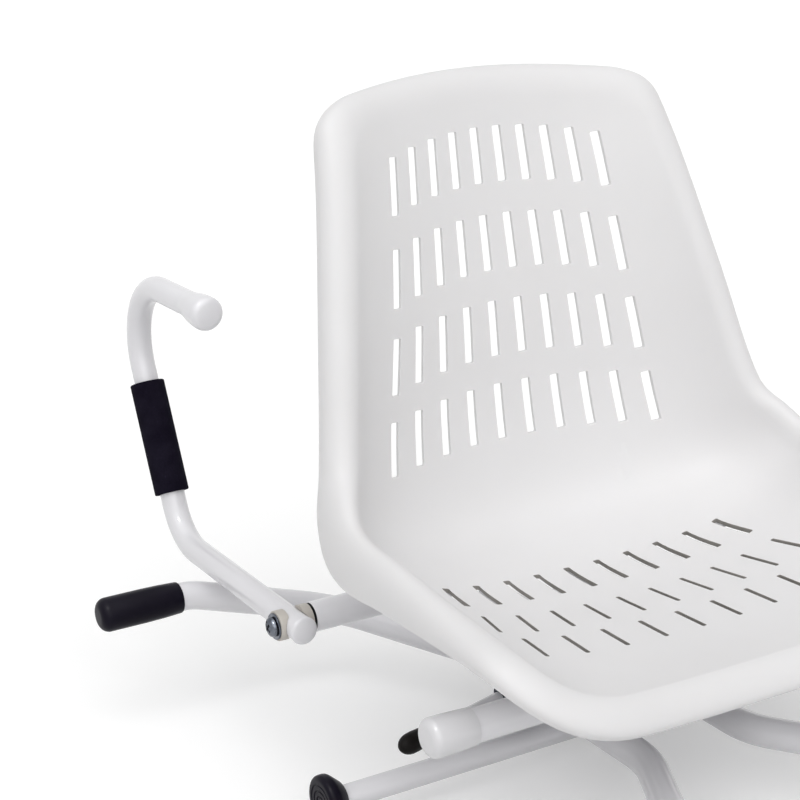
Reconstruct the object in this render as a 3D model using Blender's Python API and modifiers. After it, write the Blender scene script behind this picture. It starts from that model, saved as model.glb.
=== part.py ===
# Swivel bath seat: a moulded bucket shell on a turntable, carried by two bent tubes that lie
# across the rims of a bath on rubber sleeves, with one fold-back armrest and a swivel lock.
# Metres, +Z up. The origin lies on the swivel axis in the plane of the bath's rims.
# The seat faces -Y, and +X is the sitter's left.
import math

import bmesh
import bpy
from mathutils import Matrix, Vector
from mathutils.bvhtree import BVHTree

# Clearances and facets
GAP = 0.0003                  # between pieces that touch
RUN_GAP = 0.0004              # round a pin that turns or slides
ROUND_SIDES = 16              # sides of turned pieces
PIN_SIDES = 12                # sides of bolts and screws
WIDE_SIDES = 24               # sides of wide rings and of the saddles' hollows
TUBE_RINGS = 4                # bevel resolution of the tubes, 12 sides

# Base frame that lies across the bath
TUBE_D = 0.0250               # frame tubes and cross tubes
FRAME_X = 0.0487              # waist of the frame tubes, from the swivel axis
FRAME_Z = -0.0330             # axis of the frame tubes at the waist
WAIST_Y = 0.1150              # where the waist bends outwards
WAIST_BEND_R = 0.080
KNEE_X = 0.1220               # knee, where each tube turns towards the rim
KNEE_Y = 0.2560
KNEE_Z = -0.0220
KNEE_BEND_R = 0.070
FOOT_X = 0.2520               # where the tube levels out over the rim
FOOT_Y = 0.2760
FOOT_BEND_R = 0.060

# Rubber sleeves that rest on the rims
SLEEVE_IN_X = 0.2630
SLEEVE_OUT_X = 0.3380
SLEEVE_D = 0.0299             # over the land
SLEEVE_MOUTH_D = 0.0274
SLEEVE_END_WALL = 0.0050
SLEEVE_ROUND = 0.0090
SLEEVE_TAPER = 0.45           # share of its length that tapers to the mouth
LAND_DEPTH = 0.0004           # flat that the sleeve rests on

# Centre bar with its stops against the bath's inner walls
BAR_D = 0.0190
BAR_HALF = 0.2620
STOP_D = 0.0440
STOP_END_WALL = 0.0097        # rubber beyond the bar's end
STOP_DEPTH = 0.0180
STOP_ROUND = 0.0040

# Turntable stack, from the frame upwards
PLATE_T = 0.0040
BASE_HALF_X = 0.0735
BASE_HALF_Y = 0.0580
PLATE_CORNER_R = 0.0120
INDEX_R = 0.0800              # index plate
INDEX_T = 0.0050
INDEX_STOPS = 12              # a stop every 30 degrees
NOTCH_DEPTH = 0.0085
TOOTH_TIP = 0.0050            # width of the pawl's tooth at its tip
TOOTH_TAPER = math.radians(15.0)
GLIDE_R = 0.0620
GLIDE_BORE_R = 0.0300
GLIDE_T = 0.0050
TURN_RIGHT_X = 0.0780         # turntable plate
TURN_LEFT_X = 0.1080
TURN_HALF_Y = 0.0580
SPINDLE_D = 0.0120
SPINDLE_HEAD_D = 0.0220
SPINDLE_HEAD_H = 0.0070
SPINDLE_WASHER_D = 0.0240
SPINDLE_WASHER_T = 0.0020
SPINDLE_NUT_AF = 0.0190
SPINDLE_NUT_H = 0.0100
SPINDLE_OVER = 0.0020
THREAD_CHAMFER = 0.0006       # at the end of each bolt and screw
HEAD_CHAMFER = 0.0010         # under each bolt's head

# Seat carrier
CROSS_Y = 0.1165              # cross tubes in front of and behind the swivel axis
CROSS_Z = 0.0425
RAIL_X = 0.0400
RAIL_W = 0.0160
RAIL_WALL = 0.0025
RAIL_OVER = 0.0095            # length past a cross tube's axis
CAP_SEAM_X = 0.2080           # slip-over end caps
CAP_END_X = 0.2460
CAP_D = 0.0300
CAP_WALL_END = 0.0045
CAP_ROUND = 0.0060

# Screws that hold the shell down on the cross tubes
SHELL_SCREW_X = 0.1000
SCREW_D = 0.0060
SCREW_HEAD_D = 0.0120
SCREW_HEAD_H = 0.0038
BOSS_D = 0.0220
BOSS_GRIP_REAR = 0.0200       # length of screw inside a rear boss
BOSS_GRIP_FRONT = 0.0055      # and inside a front one, which is short
BOSS_SINK = 0.0018            # how far a boss runs into the shell's wall

# Armrest
ARM_TUBE_D = 0.0222
ARM_X = 0.2320                # plane of the armrest, on the sitter's right
ARM_TAIL_Y = 0.1000           # front end of its tube
ARM_REACH_Y = 0.3325          # where the level part meets the upright
ARM_LEAN = math.radians(24.1) # upright leans back
ARM_HOOK_Z = 0.2723           # level of the hook
ARM_ELBOW_R = 0.0500
ARM_HOOK_R = 0.0586
ARM_HOOK_END_Y = 0.2520
GRIP_D = 0.0310
GRIP_LOW_Z = 0.0830
GRIP_LENGTH = 0.1024
GRIP_ROUND = 0.0015
ARM_CAP_SEAM_Y = 0.2850
ARM_CAP_END_Y = 0.2460
ARM_CAP_MOUTH_D = 0.0246
ARM_CAP_D = 0.0266
ARM_CAP_ROUND = 0.0060
PLUG_HEAD = 0.0040
PLUG_STEM_D = 0.0170
PLUG_STEM = 0.0090
REAR_END_X = 0.2150           # open end of the rear cross tube
SADDLE_D = 0.0250
SADDLE_WING = 0.0045          # how far a saddle reaches round the tube
SADDLE_WEB = 0.0035           # outer saddle, between tube and washer
WASHER_D = 0.0195
WASHER_T = 0.0014
ARM_SCREW_HEAD_D = 0.0130
ARM_SCREW_HEAD_H = 0.0045
INSERT_D = 0.0180
INSERT_L = 0.0240

# Swivel lock: a pawl on an upright pivot, with a long lever
PAWL_STAND_OFF = 0.0080       # middle of the pawl's arm, outside the index plate's rim
PAWL_FOOT_ANGLE = math.radians(200.0)
PAWL_ARM = 0.0420             # tooth to pivot
PAWL_ARM_W = 0.0120
PAWL_BOSS_R = 0.0100
PAWL_T = 0.0046
PIVOT_D = 0.0080
PIVOT_HEAD_D = 0.0140
PIVOT_HEAD_H = 0.0038
PIVOT_NUT_H = 0.0050
PIVOT_NUT_AF = 0.0130
PIVOT_COLLAR_D = 0.0120
LEVER_D = 0.0100
LEVER_TIP_X = 0.2290          # outer end of the grip
LEVER_TIP_Y = 0.0510
LEVER_TIP_Z = 0.0025
LEVER_GRIP_D = 0.0162
LEVER_GRIP_L = 0.0340
LEVER_GRIP_WALL = 0.0030
LEVER_GRIP_TAPER = 0.0012     # smaller at the mouth, on the radius
SPRING_WIRE_D = 0.0012
SPRING_R = 0.0082
SPRING_TURNS = 2
SPRING_STEPS = 10             # points a turn
SPRING_LEG = 0.0100

# Seat shell: stations down its centre line, from the top edge to the front edge.
# Each has the distance along the line, Y and Z of the centre, Y and Z of the dish's edge,
# the shell's half width, the curvature of the dish and the depth of the rolled edge.
# Heights are from the axis of the cross tubes, which carry the shell.
SHELL_STATIONS = (
    (0.000, 0.1845, 0.3885, 0.1580, 0.3905, 0.1668, 1.50, 0.0170),
    (0.070, 0.1720, 0.3225, 0.1300, 0.3305, 0.1803, 1.60, 0.0170),
    (0.168, 0.1535, 0.2260, 0.0985, 0.2335, 0.1998, 1.25, 0.0175),
    (0.286, 0.1357, 0.1090, 0.0664, 0.1334, 0.2205, 0.95, 0.0212),
    (0.354, 0.1110, 0.0480, 0.0462, 0.1041, 0.2325, 0.80, 0.0321),
    (0.421, 0.0500, 0.0243, 0.0175, 0.0903, 0.2374, 0.62, 0.0379),
    (0.482, -0.0110, 0.0221, -0.0323, 0.0860, 0.2347, 0.62, 0.0305),
    (0.552, -0.0810, 0.0262, -0.0990, 0.0796, 0.2313, 0.46, 0.0197),
    (0.622, -0.1510, 0.0293, -0.1727, 0.0706, 0.2263, 0.30, 0.0105),
    (0.667, -0.1957, 0.0335, -0.2272, 0.0639, 0.2201, 0.30, 0.0085),
)
SHELL_T = 0.0035
SHELL_TOP_CORNER = 0.030
SHELL_TOP_BOW = 0.0060        # drop of the top edge from the middle to its ends
SHELL_BOW_FADE = 0.0600       # distance over which the bow dies away
SHELL_FRONT_CORNER = 0.061
ROLL_OUT = 0.0285             # rolled edge, outwards from the dish
ROLL_SKIRT = 0.0030
ROLL_STEPS = 4
SHELL_ROWS = 28
SHELL_CORNER_ROWS = 4
SHELL_COLUMNS = 16
COLUMN_SPREAD = math.radians(67.5)    # the more, the closer the columns lie towards the sides
DISH_POWER = 7                # how late and how steeply the dish's sides rise
SLOT_W = 0.0084
SLOT_CUT = 0.0500             # length of a slot's cutter through the wall
# Rows of slots: start and end along the centre line, pitch at start and end, count, bow
BACK_SLOT_ROWS = (
    (0.0210, 0.0700, 0.0221, 0.0232, 10, 0.0160),
    (0.0960, 0.1430, 0.0239, 0.0252, 10, 0.0160),
    (0.1680, 0.2150, 0.0259, 0.0274, 10, 0.0150),
    (0.2380, 0.2860, 0.0282, 0.0296, 10, 0.0140),
)
PAN_SLOT_ROWS = (
    (0.4316, 0.4717, 0.0300, 0.0312, 10, 0.0008),
    (0.5033, 0.5381, 0.0316, 0.0331, 10, -0.0043),
    (0.5566, 0.5893, 0.0348, 0.0350, 9, -0.0070),
)

# Levels worked out from the sizes above
FOOT_Z = SLEEVE_D / 2 - LAND_DEPTH
BAR_Z = FRAME_Z - TUBE_D / 2 - GAP - BAR_D / 2
STOP_FACE_X = BAR_HALF + GAP + STOP_END_WALL
BASE_Z = FRAME_Z + TUBE_D / 2 + GAP
INDEX_Z = BASE_Z + PLATE_T + GAP
GLIDE_Z = INDEX_Z + INDEX_T + GAP
TURN_Z = GLIDE_Z + GLIDE_T + GAP
RAIL_Z = TURN_Z + PLATE_T + GAP
RAIL_TOP_Z = CROSS_Z - TUBE_D / 2 - GAP
RAIL_HALF_Y = CROSS_Y + RAIL_OVER
PAWL_Z = INDEX_Z + (INDEX_T - PAWL_T) / 2
PAWL_FOOT_R = INDEX_R + PAWL_STAND_OFF
SHELL_LENGTH = SHELL_STATIONS[-1][0]


def clear_scene():
    for obj in list(bpy.data.objects):
        bpy.data.objects.remove(obj, do_unlink=True)
    for group in list(bpy.data.collections):
        bpy.data.collections.remove(group)


clear_scene()
PART = bpy.data.collections.new("swivel_bath_seat")
CUTTERS = bpy.data.collections.new("cutters")
bpy.context.scene.collection.children.link(PART)
bpy.context.scene.collection.children.link(CUTTERS)


# Materials: colour, roughness and metallic value of each finish
FINISHES = {
    "white_coated_tube": ((0.86, 0.86, 0.87), 0.28, 0.0),
    "white_shell_plastic": ((0.82, 0.82, 0.83), 0.42, 0.0),
    "white_cap_plastic": ((0.84, 0.84, 0.85), 0.38, 0.0),
    "black_rubber": ((0.012, 0.010, 0.018), 0.62, 0.0),
    "dark_foam": ((0.014, 0.011, 0.020), 0.85, 0.0),
    "beige_plastic": ((0.72, 0.67, 0.56), 0.45, 0.0),
    "zinc_steel": ((0.62, 0.63, 0.65), 0.30, 1.0),
    "glide_plastic": ((0.75, 0.75, 0.72), 0.35, 0.0),
}


def material(name, finish):
    colour, roughness, metallic = FINISHES[finish]
    mat = bpy.data.materials.new(name + "_" + finish)
    mat.use_nodes = True
    shader = mat.node_tree.nodes["Principled BSDF"]
    shader.inputs["Base Color"].default_value = (*colour, 1.0)
    shader.inputs["Roughness"].default_value = roughness
    shader.inputs["Metallic"].default_value = metallic
    mat.diffuse_color = (*colour, 1.0)
    return mat


def add_object(name, data, group):
    obj = bpy.data.objects.new(name, data)
    group.objects.link(obj)
    return obj


def empty(name, place, parent=None):
    """Joint axis as an empty; pieces that move about it are its children."""
    obj = add_object(name, None, PART)
    obj.empty_display_size = 0.03
    obj.parent = parent
    obj.location = Vector(place) - (parent_place(parent) if parent else Vector())
    return obj


def parent_place(obj):
    place = Vector()
    while obj is not None:
        place += obj.location
        obj = obj.parent
    return place


def finish_piece(obj, finish, parent):
    """Give a piece its material and shading and hang it on its body."""
    obj.data.materials.clear()
    obj.data.materials.append(material(obj.name, finish))
    obj.data.shade_smooth()
    obj.data.set_sharp_from_angle(angle=math.radians(32))
    if parent is not None:
        obj.parent = parent
        obj.matrix_parent_inverse = Matrix.Translation(-parent_place(parent))
    return obj


def to_mesh(obj):
    """Replace an object by the mesh it evaluates to, with its doubles merged."""
    bpy.context.view_layer.update()
    seen = obj.evaluated_get(bpy.context.evaluated_depsgraph_get())
    mesh = bpy.data.meshes.new_from_object(seen)
    work = bmesh.new()
    work.from_mesh(mesh)
    bmesh.ops.remove_doubles(work, verts=work.verts, dist=0.00001)
    work.to_mesh(mesh)
    work.free()
    name, place, group = obj.name, obj.matrix_world.copy(), obj.users_collection[0]
    bpy.data.objects.remove(obj, do_unlink=True)
    new = add_object(name, mesh, group)
    new.matrix_world = place
    return new


def as_cutter(obj):
    obj.hide_render = True
    obj.display_type = "WIRE"
    for group in list(obj.users_collection):
        group.objects.unlink(obj)
    CUTTERS.objects.link(obj)
    return obj


def boolean(obj, other, operation="DIFFERENCE"):
    mod = obj.modifiers.new(operation.lower(), "BOOLEAN")
    mod.object = as_cutter(other)
    mod.operation = operation
    mod.solver = "EXACT"
    return obj


def hole_radius(radius, sides, clearance=GAP):
    """Radius of a faceted bore whose flats clear a round of this radius."""
    return (radius + clearance) / math.cos(math.pi / sides)


def along(axis):
    """Rotation that turns +Z to an axis."""
    return Vector((0, 0, 1)).rotation_difference(Vector(axis).normalized())


def turned(name, profile, origin, axis, sides=ROUND_SIDES, closed=False):
    """Piece turned about an axis. The profile lists radius and height, top to bottom."""
    mesh = bpy.data.meshes.new(name)
    verts = [(radius, 0.0, height) for radius, height in profile]
    edges = [(i, i + 1) for i in range(len(verts) - 1)]
    if closed:
        edges.append((len(verts) - 1, 0))
    mesh.from_pydata(verts, edges, [])
    obj = add_object(name, mesh, PART)
    obj.rotation_mode = "QUATERNION"
    obj.rotation_quaternion = along(axis)
    obj.location = origin
    screw = obj.modifiers.new("turn", "SCREW")
    screw.steps = sides
    screw.render_steps = sides
    screw.use_merge_vertices = True
    screw.merge_threshold = 0.00001
    return to_mesh(obj)


def rod(name, radius, start, end, sides=ROUND_SIDES):
    """Plain round rod between two points."""
    start, end = Vector(start), Vector(end)
    length = (end - start).length
    return turned(name, [(0, length), (radius, length), (radius, 0), (0, 0)],
                  start, end - start, sides)


def rounded(radius, height, corner, steps=3):
    """Profile points of a rounded outer corner, from the end face to the side."""
    points = []
    for i in range(steps + 1):
        turn = math.pi / 2 * i / steps
        points.append((radius - corner * (1 - math.sin(turn)),
                       height - corner * (1 - math.cos(turn))))
    return points


def fillet_path(corners, radii, step=math.radians(12)):
    """Points of a tube's centre line: straight runs joined by round bends."""
    corners = [Vector(c) for c in corners]
    points = [corners[0]]
    for before, corner, after, radius in zip(corners, corners[1:], corners[2:], radii):
        into, out = (corner - before).normalized(), (after - corner).normalized()
        turn = into.angle(out)
        reach = radius * math.tan(turn / 2)
        start = corner - into * reach
        middle = (out - into).normalized()
        centre = corner + middle * (radius / math.cos(turn / 2))
        arm, spin = start - centre, into.cross(out).normalized()
        steps = max(2, math.ceil(turn / step))
        for i in range(steps + 1):
            points.append(centre + Matrix.Rotation(turn * i / steps, 3, spin) @ arm)
    points.append(corners[-1])
    return points


def tube(name, points, radius, rings=TUBE_RINGS):
    """Round bar or closed tube along a line of points."""
    curve = bpy.data.curves.new(name, "CURVE")
    curve.dimensions = "3D"
    curve.bevel_depth = radius
    curve.bevel_resolution = rings
    curve.use_fill_caps = True
    line = curve.splines.new("POLY")
    line.points.add(len(points) - 1)
    for place, point in zip(points, line.points):
        point.co = (*place, 1.0)
    return to_mesh(add_object(name, curve, PART))


def plate(name, outline, low, thickness):
    """Flat plate from an outline in X and Y."""
    curve = bpy.data.curves.new(name, "CURVE")
    curve.dimensions = "2D"
    curve.fill_mode = "BOTH"
    curve.extrude = thickness / 2
    line = curve.splines.new("POLY")
    line.points.add(len(outline) - 1)
    for (x, y), point in zip(outline, line.points):
        point.co = (x, y, 0.0, 1.0)
    line.use_cyclic_u = True
    obj = add_object(name, curve, PART)
    obj.location = (0, 0, low + thickness / 2)
    return to_mesh(obj)


def rounded_outline(left, right, front, back, corner, steps=3):
    points = []
    centres = ((right, back, 0), (left, back, 1), (left, front, 2), (right, front, 3))
    for x, y, quarter in centres:
        x += -corner if quarter in (0, 3) else corner
        y += -corner if quarter in (0, 1) else corner
        for i in range(steps + 1):
            turn = math.pi / 2 * (quarter + i / steps)
            points.append((x + corner * math.cos(turn), y + corner * math.sin(turn)))
    return points


# Base frame
def make_frame_tube(side):
    name = "frame_tube_left" if side > 0 else "frame_tube_right"
    tip = SLEEVE_OUT_X - SLEEVE_END_WALL - GAP
    half = [(side * tip, -FOOT_Y, FOOT_Z),
            (side * FOOT_X, -FOOT_Y, FOOT_Z),
            (side * KNEE_X, -KNEE_Y, KNEE_Z),
            (side * FRAME_X, -WAIST_Y, FRAME_Z)]
    corners = half + [(x, -y, z) for x, y, z in reversed(half)]
    bends = [FOOT_BEND_R, KNEE_BEND_R, WAIST_BEND_R]
    points = fillet_path(corners, bends + bends[::-1])
    return finish_piece(tube(name, points, TUBE_D / 2), "white_coated_tube", None)


def make_rim_sleeve(side, end):
    """Rubber sleeve pushed over a tube's end, with a flat land where it rests."""
    name = "rim_sleeve_" + ("rear" if end > 0 else "front") + ("_left" if side > 0 else "_right")
    length = SLEEVE_OUT_X - SLEEVE_IN_X
    bore = hole_radius(TUBE_D / 2, ROUND_SIDES)
    full = SLEEVE_D / 2
    profile = [(0, length)]
    profile += rounded(full, length, SLEEVE_ROUND, 3)
    profile += [(full, length * SLEEVE_TAPER), (SLEEVE_MOUTH_D / 2, 0.002), (SLEEVE_MOUTH_D / 2 - 0.0004, 0),
                (bore, 0), (bore, length - SLEEVE_END_WALL), (0, length - SLEEVE_END_WALL)]
    obj = turned(name, profile, (side * SLEEVE_IN_X, end * FOOT_Y, FOOT_Z), (side, 0, 0))
    near, far = sorted((side * (SLEEVE_IN_X - SLEEVE_D), side * (SLEEVE_OUT_X + SLEEVE_D)))
    low_y, high_y = end * FOOT_Y - SLEEVE_D, end * FOOT_Y + SLEEVE_D
    outline = [(near, low_y), (far, low_y), (far, high_y), (near, high_y)]
    boolean(obj, plate(name + "_land_cut", outline, -SLEEVE_D, SLEEVE_D))
    return finish_piece(obj, "black_rubber", None)


def make_centre_bar():
    obj = rod("centre_bar", BAR_D / 2, (-BAR_HALF, 0, BAR_Z), (BAR_HALF, 0, BAR_Z))
    return finish_piece(obj, "white_coated_tube", None)


def make_bath_stop(side):
    """Rubber stop on the bar's end, which bears on the bath's inner wall."""
    name = "bath_stop_" + ("left" if side > 0 else "right")
    inner = STOP_FACE_X - STOP_DEPTH
    floor = BAR_HALF + GAP - inner
    bore = hole_radius(BAR_D / 2, ROUND_SIDES)
    profile = [(0, STOP_DEPTH)]
    profile += rounded(STOP_D / 2, STOP_DEPTH, STOP_ROUND)
    profile += [(STOP_D / 2, STOP_DEPTH * 0.5), (BAR_D * 0.75, 0), (bore, 0), (bore, floor), (0, floor)]
    obj = turned(name, profile, (side * inner, 0, BAR_Z), (side, 0, 0))
    return finish_piece(obj, "black_rubber", None)


def notch_points(radius, angle):
    """Notch in the index plate: rim, flank, bottom, flank, rim."""
    bottom = radius - NOTCH_DEPTH
    half_low = TOOTH_TIP / 2 + 2 * GAP
    half_top = half_low + NOTCH_DEPTH * math.tan(TOOTH_TAPER)
    turn = Matrix.Rotation(angle, 2)
    rim = math.sqrt(radius ** 2 - half_top ** 2)
    corners = ((rim, -half_top), (bottom, -half_low), (bottom, half_low), (rim, half_top))
    return [turn @ Vector(corner) for corner in corners]


def make_index_plate():
    outline = []
    pitch = 2 * math.pi / INDEX_STOPS
    for stop in range(INDEX_STOPS):
        angle = PAWL_FOOT_ANGLE + stop * pitch
        outline += notch_points(INDEX_R, angle)
        for i in (1, 2, 3):
            turn = angle + pitch * i / 4
            outline.append((INDEX_R * math.cos(turn), INDEX_R * math.sin(turn)))
    obj = plate("index_plate", [tuple(p) for p in outline], INDEX_Z, INDEX_T)
    boolean(obj, rod("index_bore", hole_radius(SPINDLE_D / 2, PIN_SIDES),
                     (0, 0, INDEX_Z - INDEX_T), (0, 0, INDEX_Z + 2 * INDEX_T), PIN_SIDES))
    return finish_piece(obj, "zinc_steel", None)


def make_base_plate():
    outline = rounded_outline(-BASE_HALF_X, BASE_HALF_X, -BASE_HALF_Y, BASE_HALF_Y, PLATE_CORNER_R)
    obj = plate("base_plate", outline, BASE_Z, PLATE_T)
    boolean(obj, rod("base_bore", hole_radius(SPINDLE_D / 2, PIN_SIDES),
                     (0, 0, BASE_Z - PLATE_T), (0, 0, BASE_Z + 2 * PLATE_T), PIN_SIDES))
    return finish_piece(obj, "white_coated_tube", None)


def make_glide_ring():
    profile = [(GLIDE_R, GLIDE_T), (GLIDE_R, 0), (GLIDE_BORE_R, 0), (GLIDE_BORE_R, GLIDE_T)]
    obj = turned("glide_ring", profile, (0, 0, GLIDE_Z), (0, 0, 1), WIDE_SIDES, closed=True)
    return finish_piece(obj, "glide_plastic", None)


def make_spindle():
    """Bolt through the whole stack, with its head under the base plate."""
    top = TURN_Z + PLATE_T + GAP + SPINDLE_WASHER_T + GAP + SPINDLE_NUT_H + SPINDLE_OVER
    low = BASE_Z - GAP
    head = SPINDLE_HEAD_D / 2
    profile = [(0, top - low), (SPINDLE_D / 2 - THREAD_CHAMFER, top - low),
               (SPINDLE_D / 2, top - low - THREAD_CHAMFER), (SPINDLE_D / 2, 0), (head, 0),
               (head, -SPINDLE_HEAD_H + HEAD_CHAMFER), (head - HEAD_CHAMFER, -SPINDLE_HEAD_H),
               (0, -SPINDLE_HEAD_H)]
    obj = turned("spindle", profile, (0, 0, low), (0, 0, 1), PIN_SIDES)
    return finish_piece(obj, "zinc_steel", None)


def ring_piece(name, outer, inner, low, thickness, sides, finish, parent, x=0.0, y=0.0):
    obj = turned(name, [(outer, thickness), (outer, 0), (inner, 0), (inner, thickness)],
                 (x, y, low), (0, 0, 1), sides, closed=True)
    return finish_piece(obj, finish, parent)


def make_spindle_nuts():
    bore = hole_radius(SPINDLE_D / 2, PIN_SIDES)
    low = TURN_Z + PLATE_T + GAP
    ring_piece("spindle_washer", SPINDLE_WASHER_D / 2, bore, low, SPINDLE_WASHER_T,
               PIN_SIDES, "zinc_steel", None)
    hexagon = [(SPINDLE_NUT_AF / math.sqrt(3) * math.cos(math.pi / 3 * i),
                SPINDLE_NUT_AF / math.sqrt(3) * math.sin(math.pi / 3 * i)) for i in range(6)]
    nut = plate("spindle_nut", hexagon, low + SPINDLE_WASHER_T + GAP, SPINDLE_NUT_H)
    boolean(nut, rod("nut_bore", bore, (0, 0, low), (0, 0, low + 2 * SPINDLE_NUT_H), PIN_SIDES))
    finish_piece(nut, "zinc_steel", None)


# Seat carrier, which turns on the spindle
def make_turntable_plate(parent):
    outline = rounded_outline(-TURN_LEFT_X, TURN_RIGHT_X, -TURN_HALF_Y, TURN_HALF_Y, PLATE_CORNER_R)
    obj = plate("turntable_plate", outline, TURN_Z, PLATE_T)
    boolean(obj, rod("turn_bore", hole_radius(SPINDLE_D / 2, PIN_SIDES, RUN_GAP),
                     (0, 0, TURN_Z - PLATE_T), (0, 0, TURN_Z + 2 * PLATE_T), PIN_SIDES))
    x, y = pawl_pivot()
    boolean(obj, rod("pivot_bore", hole_radius(PIVOT_D / 2, PIN_SIDES),
                     (x, y, TURN_Z - PLATE_T), (x, y, TURN_Z + 2 * PLATE_T), PIN_SIDES))
    return finish_piece(obj, "white_coated_tube", parent)


def make_rail(side, parent):
    """Channel rail between the turntable plate and the cross tubes, open towards the middle."""
    name = "carrier_rail_" + ("left" if side > 0 else "right")
    half_w, height = RAIL_W / 2, RAIL_TOP_Z - RAIL_Z
    wall = RAIL_WALL
    section = [(half_w, 0), (half_w, height), (-half_w, height), (-half_w, height - wall),
               (half_w - wall, height - wall), (half_w - wall, wall), (-half_w, wall), (-half_w, 0)]
    obj = plate(name, section, -RAIL_HALF_Y, 2 * RAIL_HALF_Y)
    # the section's X runs outwards and its Y upwards
    turn = Matrix(((side, 0, 0), (0, 0, -side), (0, 1, 0)))
    obj.data.transform(Matrix.Translation(obj.location))
    obj.data.transform(turn.to_4x4())
    obj.data.transform(Matrix.Translation((side * RAIL_X, 0, RAIL_Z)))
    obj.location = (0, 0, 0)
    return finish_piece(obj, "white_coated_tube", parent)


def make_cross_tube(end, parent):
    name = "cross_tube_" + ("rear" if end > 0 else "front")
    inside = CAP_END_X - CAP_WALL_END - GAP
    right = -REAR_END_X if end > 0 else -inside
    obj = rod(name, TUBE_D / 2, (right, end * CROSS_Y, CROSS_Z), (inside, end * CROSS_Y, CROSS_Z))
    for side in (-1, 1):
        x = side * SHELL_SCREW_X
        below, above = (x, end * CROSS_Y, CROSS_Z - TUBE_D), (x, end * CROSS_Y, CROSS_Z + TUBE_D)
        boolean(obj, rod(name + "_screw_hole", hole_radius(SCREW_D / 2, PIN_SIDES), below, above, PIN_SIDES))
    if end > 0:
        bore = hole_radius(INSERT_D / 2, ROUND_SIDES)
        boolean(obj, rod(name + "_insert_bore", bore, (right - 0.01, CROSS_Y, CROSS_Z),
                         (right + INSERT_L + GAP, CROSS_Y, CROSS_Z)))
    return finish_piece(obj, "white_coated_tube", parent)


def make_tube_cap(side, end, parent):
    """Slip-over plastic cap on a cross tube's end."""
    name = "tube_cap_" + ("rear" if end > 0 else "front") + ("_left" if side > 0 else "_right")
    length = CAP_END_X - CAP_SEAM_X
    bore = hole_radius(TUBE_D / 2, ROUND_SIDES)
    profile = [(0, length + 0.0008)]
    profile += rounded(CAP_D / 2, length, CAP_ROUND)
    profile += [(CAP_D / 2, 0.001), (CAP_D / 2 - 0.0006, 0), (bore, 0), (bore, length - CAP_WALL_END),
                (0, length - CAP_WALL_END)]
    obj = turned(name, profile, (side * CAP_SEAM_X, end * CROSS_Y, CROSS_Z), (side, 0, 0))
    return finish_piece(obj, "white_cap_plastic", parent)


# Seat shell
def along_stations(distance, column):
    """Smooth value of one column of the shell's stations at a distance down its centre line."""
    rows = SHELL_STATIONS
    last = len(rows) - 1
    spot = 0
    while spot < last - 1 and distance > rows[spot + 1][0]:
        spot += 1
    slopes = []
    for i in (spot, spot + 1):
        low, high = rows[max(i - 1, 0)], rows[min(i + 1, last)]
        slopes.append((high[column] - low[column]) / (high[0] - low[0]))
    a, b = rows[spot], rows[spot + 1]
    span = b[0] - a[0]
    t = (distance - a[0]) / span
    return ((2 * t ** 3 - 3 * t ** 2 + 1) * a[column] + (t ** 3 - 2 * t ** 2 + t) * span * slopes[0]
            + (3 * t ** 2 - 2 * t ** 3) * b[column] + (t ** 3 - t ** 2) * span * slopes[1])


def centre_point(distance):
    return Vector((0, along_stations(distance, 1), CROSS_Z + along_stations(distance, 2)))


def dish_depth(distance):
    """From the centre line to the level of the dish's edge."""
    edge = Vector((0, along_stations(distance, 3), CROSS_Z + along_stations(distance, 4)))
    return edge - centre_point(distance)


def dish_edge(distance):
    """Half width of the dish, inside the rolled edge."""
    return along_stations(distance, 5) - ROLL_OUT


def shell_point(x, distance):
    """Point on the sitting surface."""
    if distance < SHELL_BOW_FADE:
        distance += SHELL_TOP_BOW * (1 - distance / SHELL_BOW_FADE) ** 2 * (x / dish_edge(distance)) ** 2
    edge, depth = dish_edge(distance), dish_depth(distance)
    flat = along_stations(distance, 6) * edge ** 2 / depth.length
    share = abs(x) / edge
    rise = flat * share ** 2 + (1 - flat) * share ** DISH_POWER
    return centre_point(distance) + depth * rise + Vector((x, 0, 0))


def row_distances():
    """Distances of the rows of faces, closer together round the corners."""
    top = [SHELL_TOP_CORNER * (1 - math.cos(math.pi / 2 * i / SHELL_CORNER_ROWS))
           for i in range(SHELL_CORNER_ROWS)]
    front = [SHELL_LENGTH - SHELL_FRONT_CORNER * (1 - math.cos(math.pi / 2 * i / SHELL_CORNER_ROWS))
             for i in range(SHELL_CORNER_ROWS)]
    start, end = SHELL_TOP_CORNER, SHELL_LENGTH - SHELL_FRONT_CORNER
    count = SHELL_ROWS - 2 * SHELL_CORNER_ROWS
    middle = [start + (end - start) * i / count for i in range(count + 1)]
    return top + middle + front[::-1]


def row_half_width(distance):
    """Half width of a row, drawn in where it crosses a round corner."""
    width = dish_edge(distance)
    for corner, inside in ((SHELL_TOP_CORNER, distance), (SHELL_FRONT_CORNER, SHELL_LENGTH - distance)):
        if inside < corner:
            width -= corner - math.sqrt(corner ** 2 - (corner - inside) ** 2)
    return width


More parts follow.
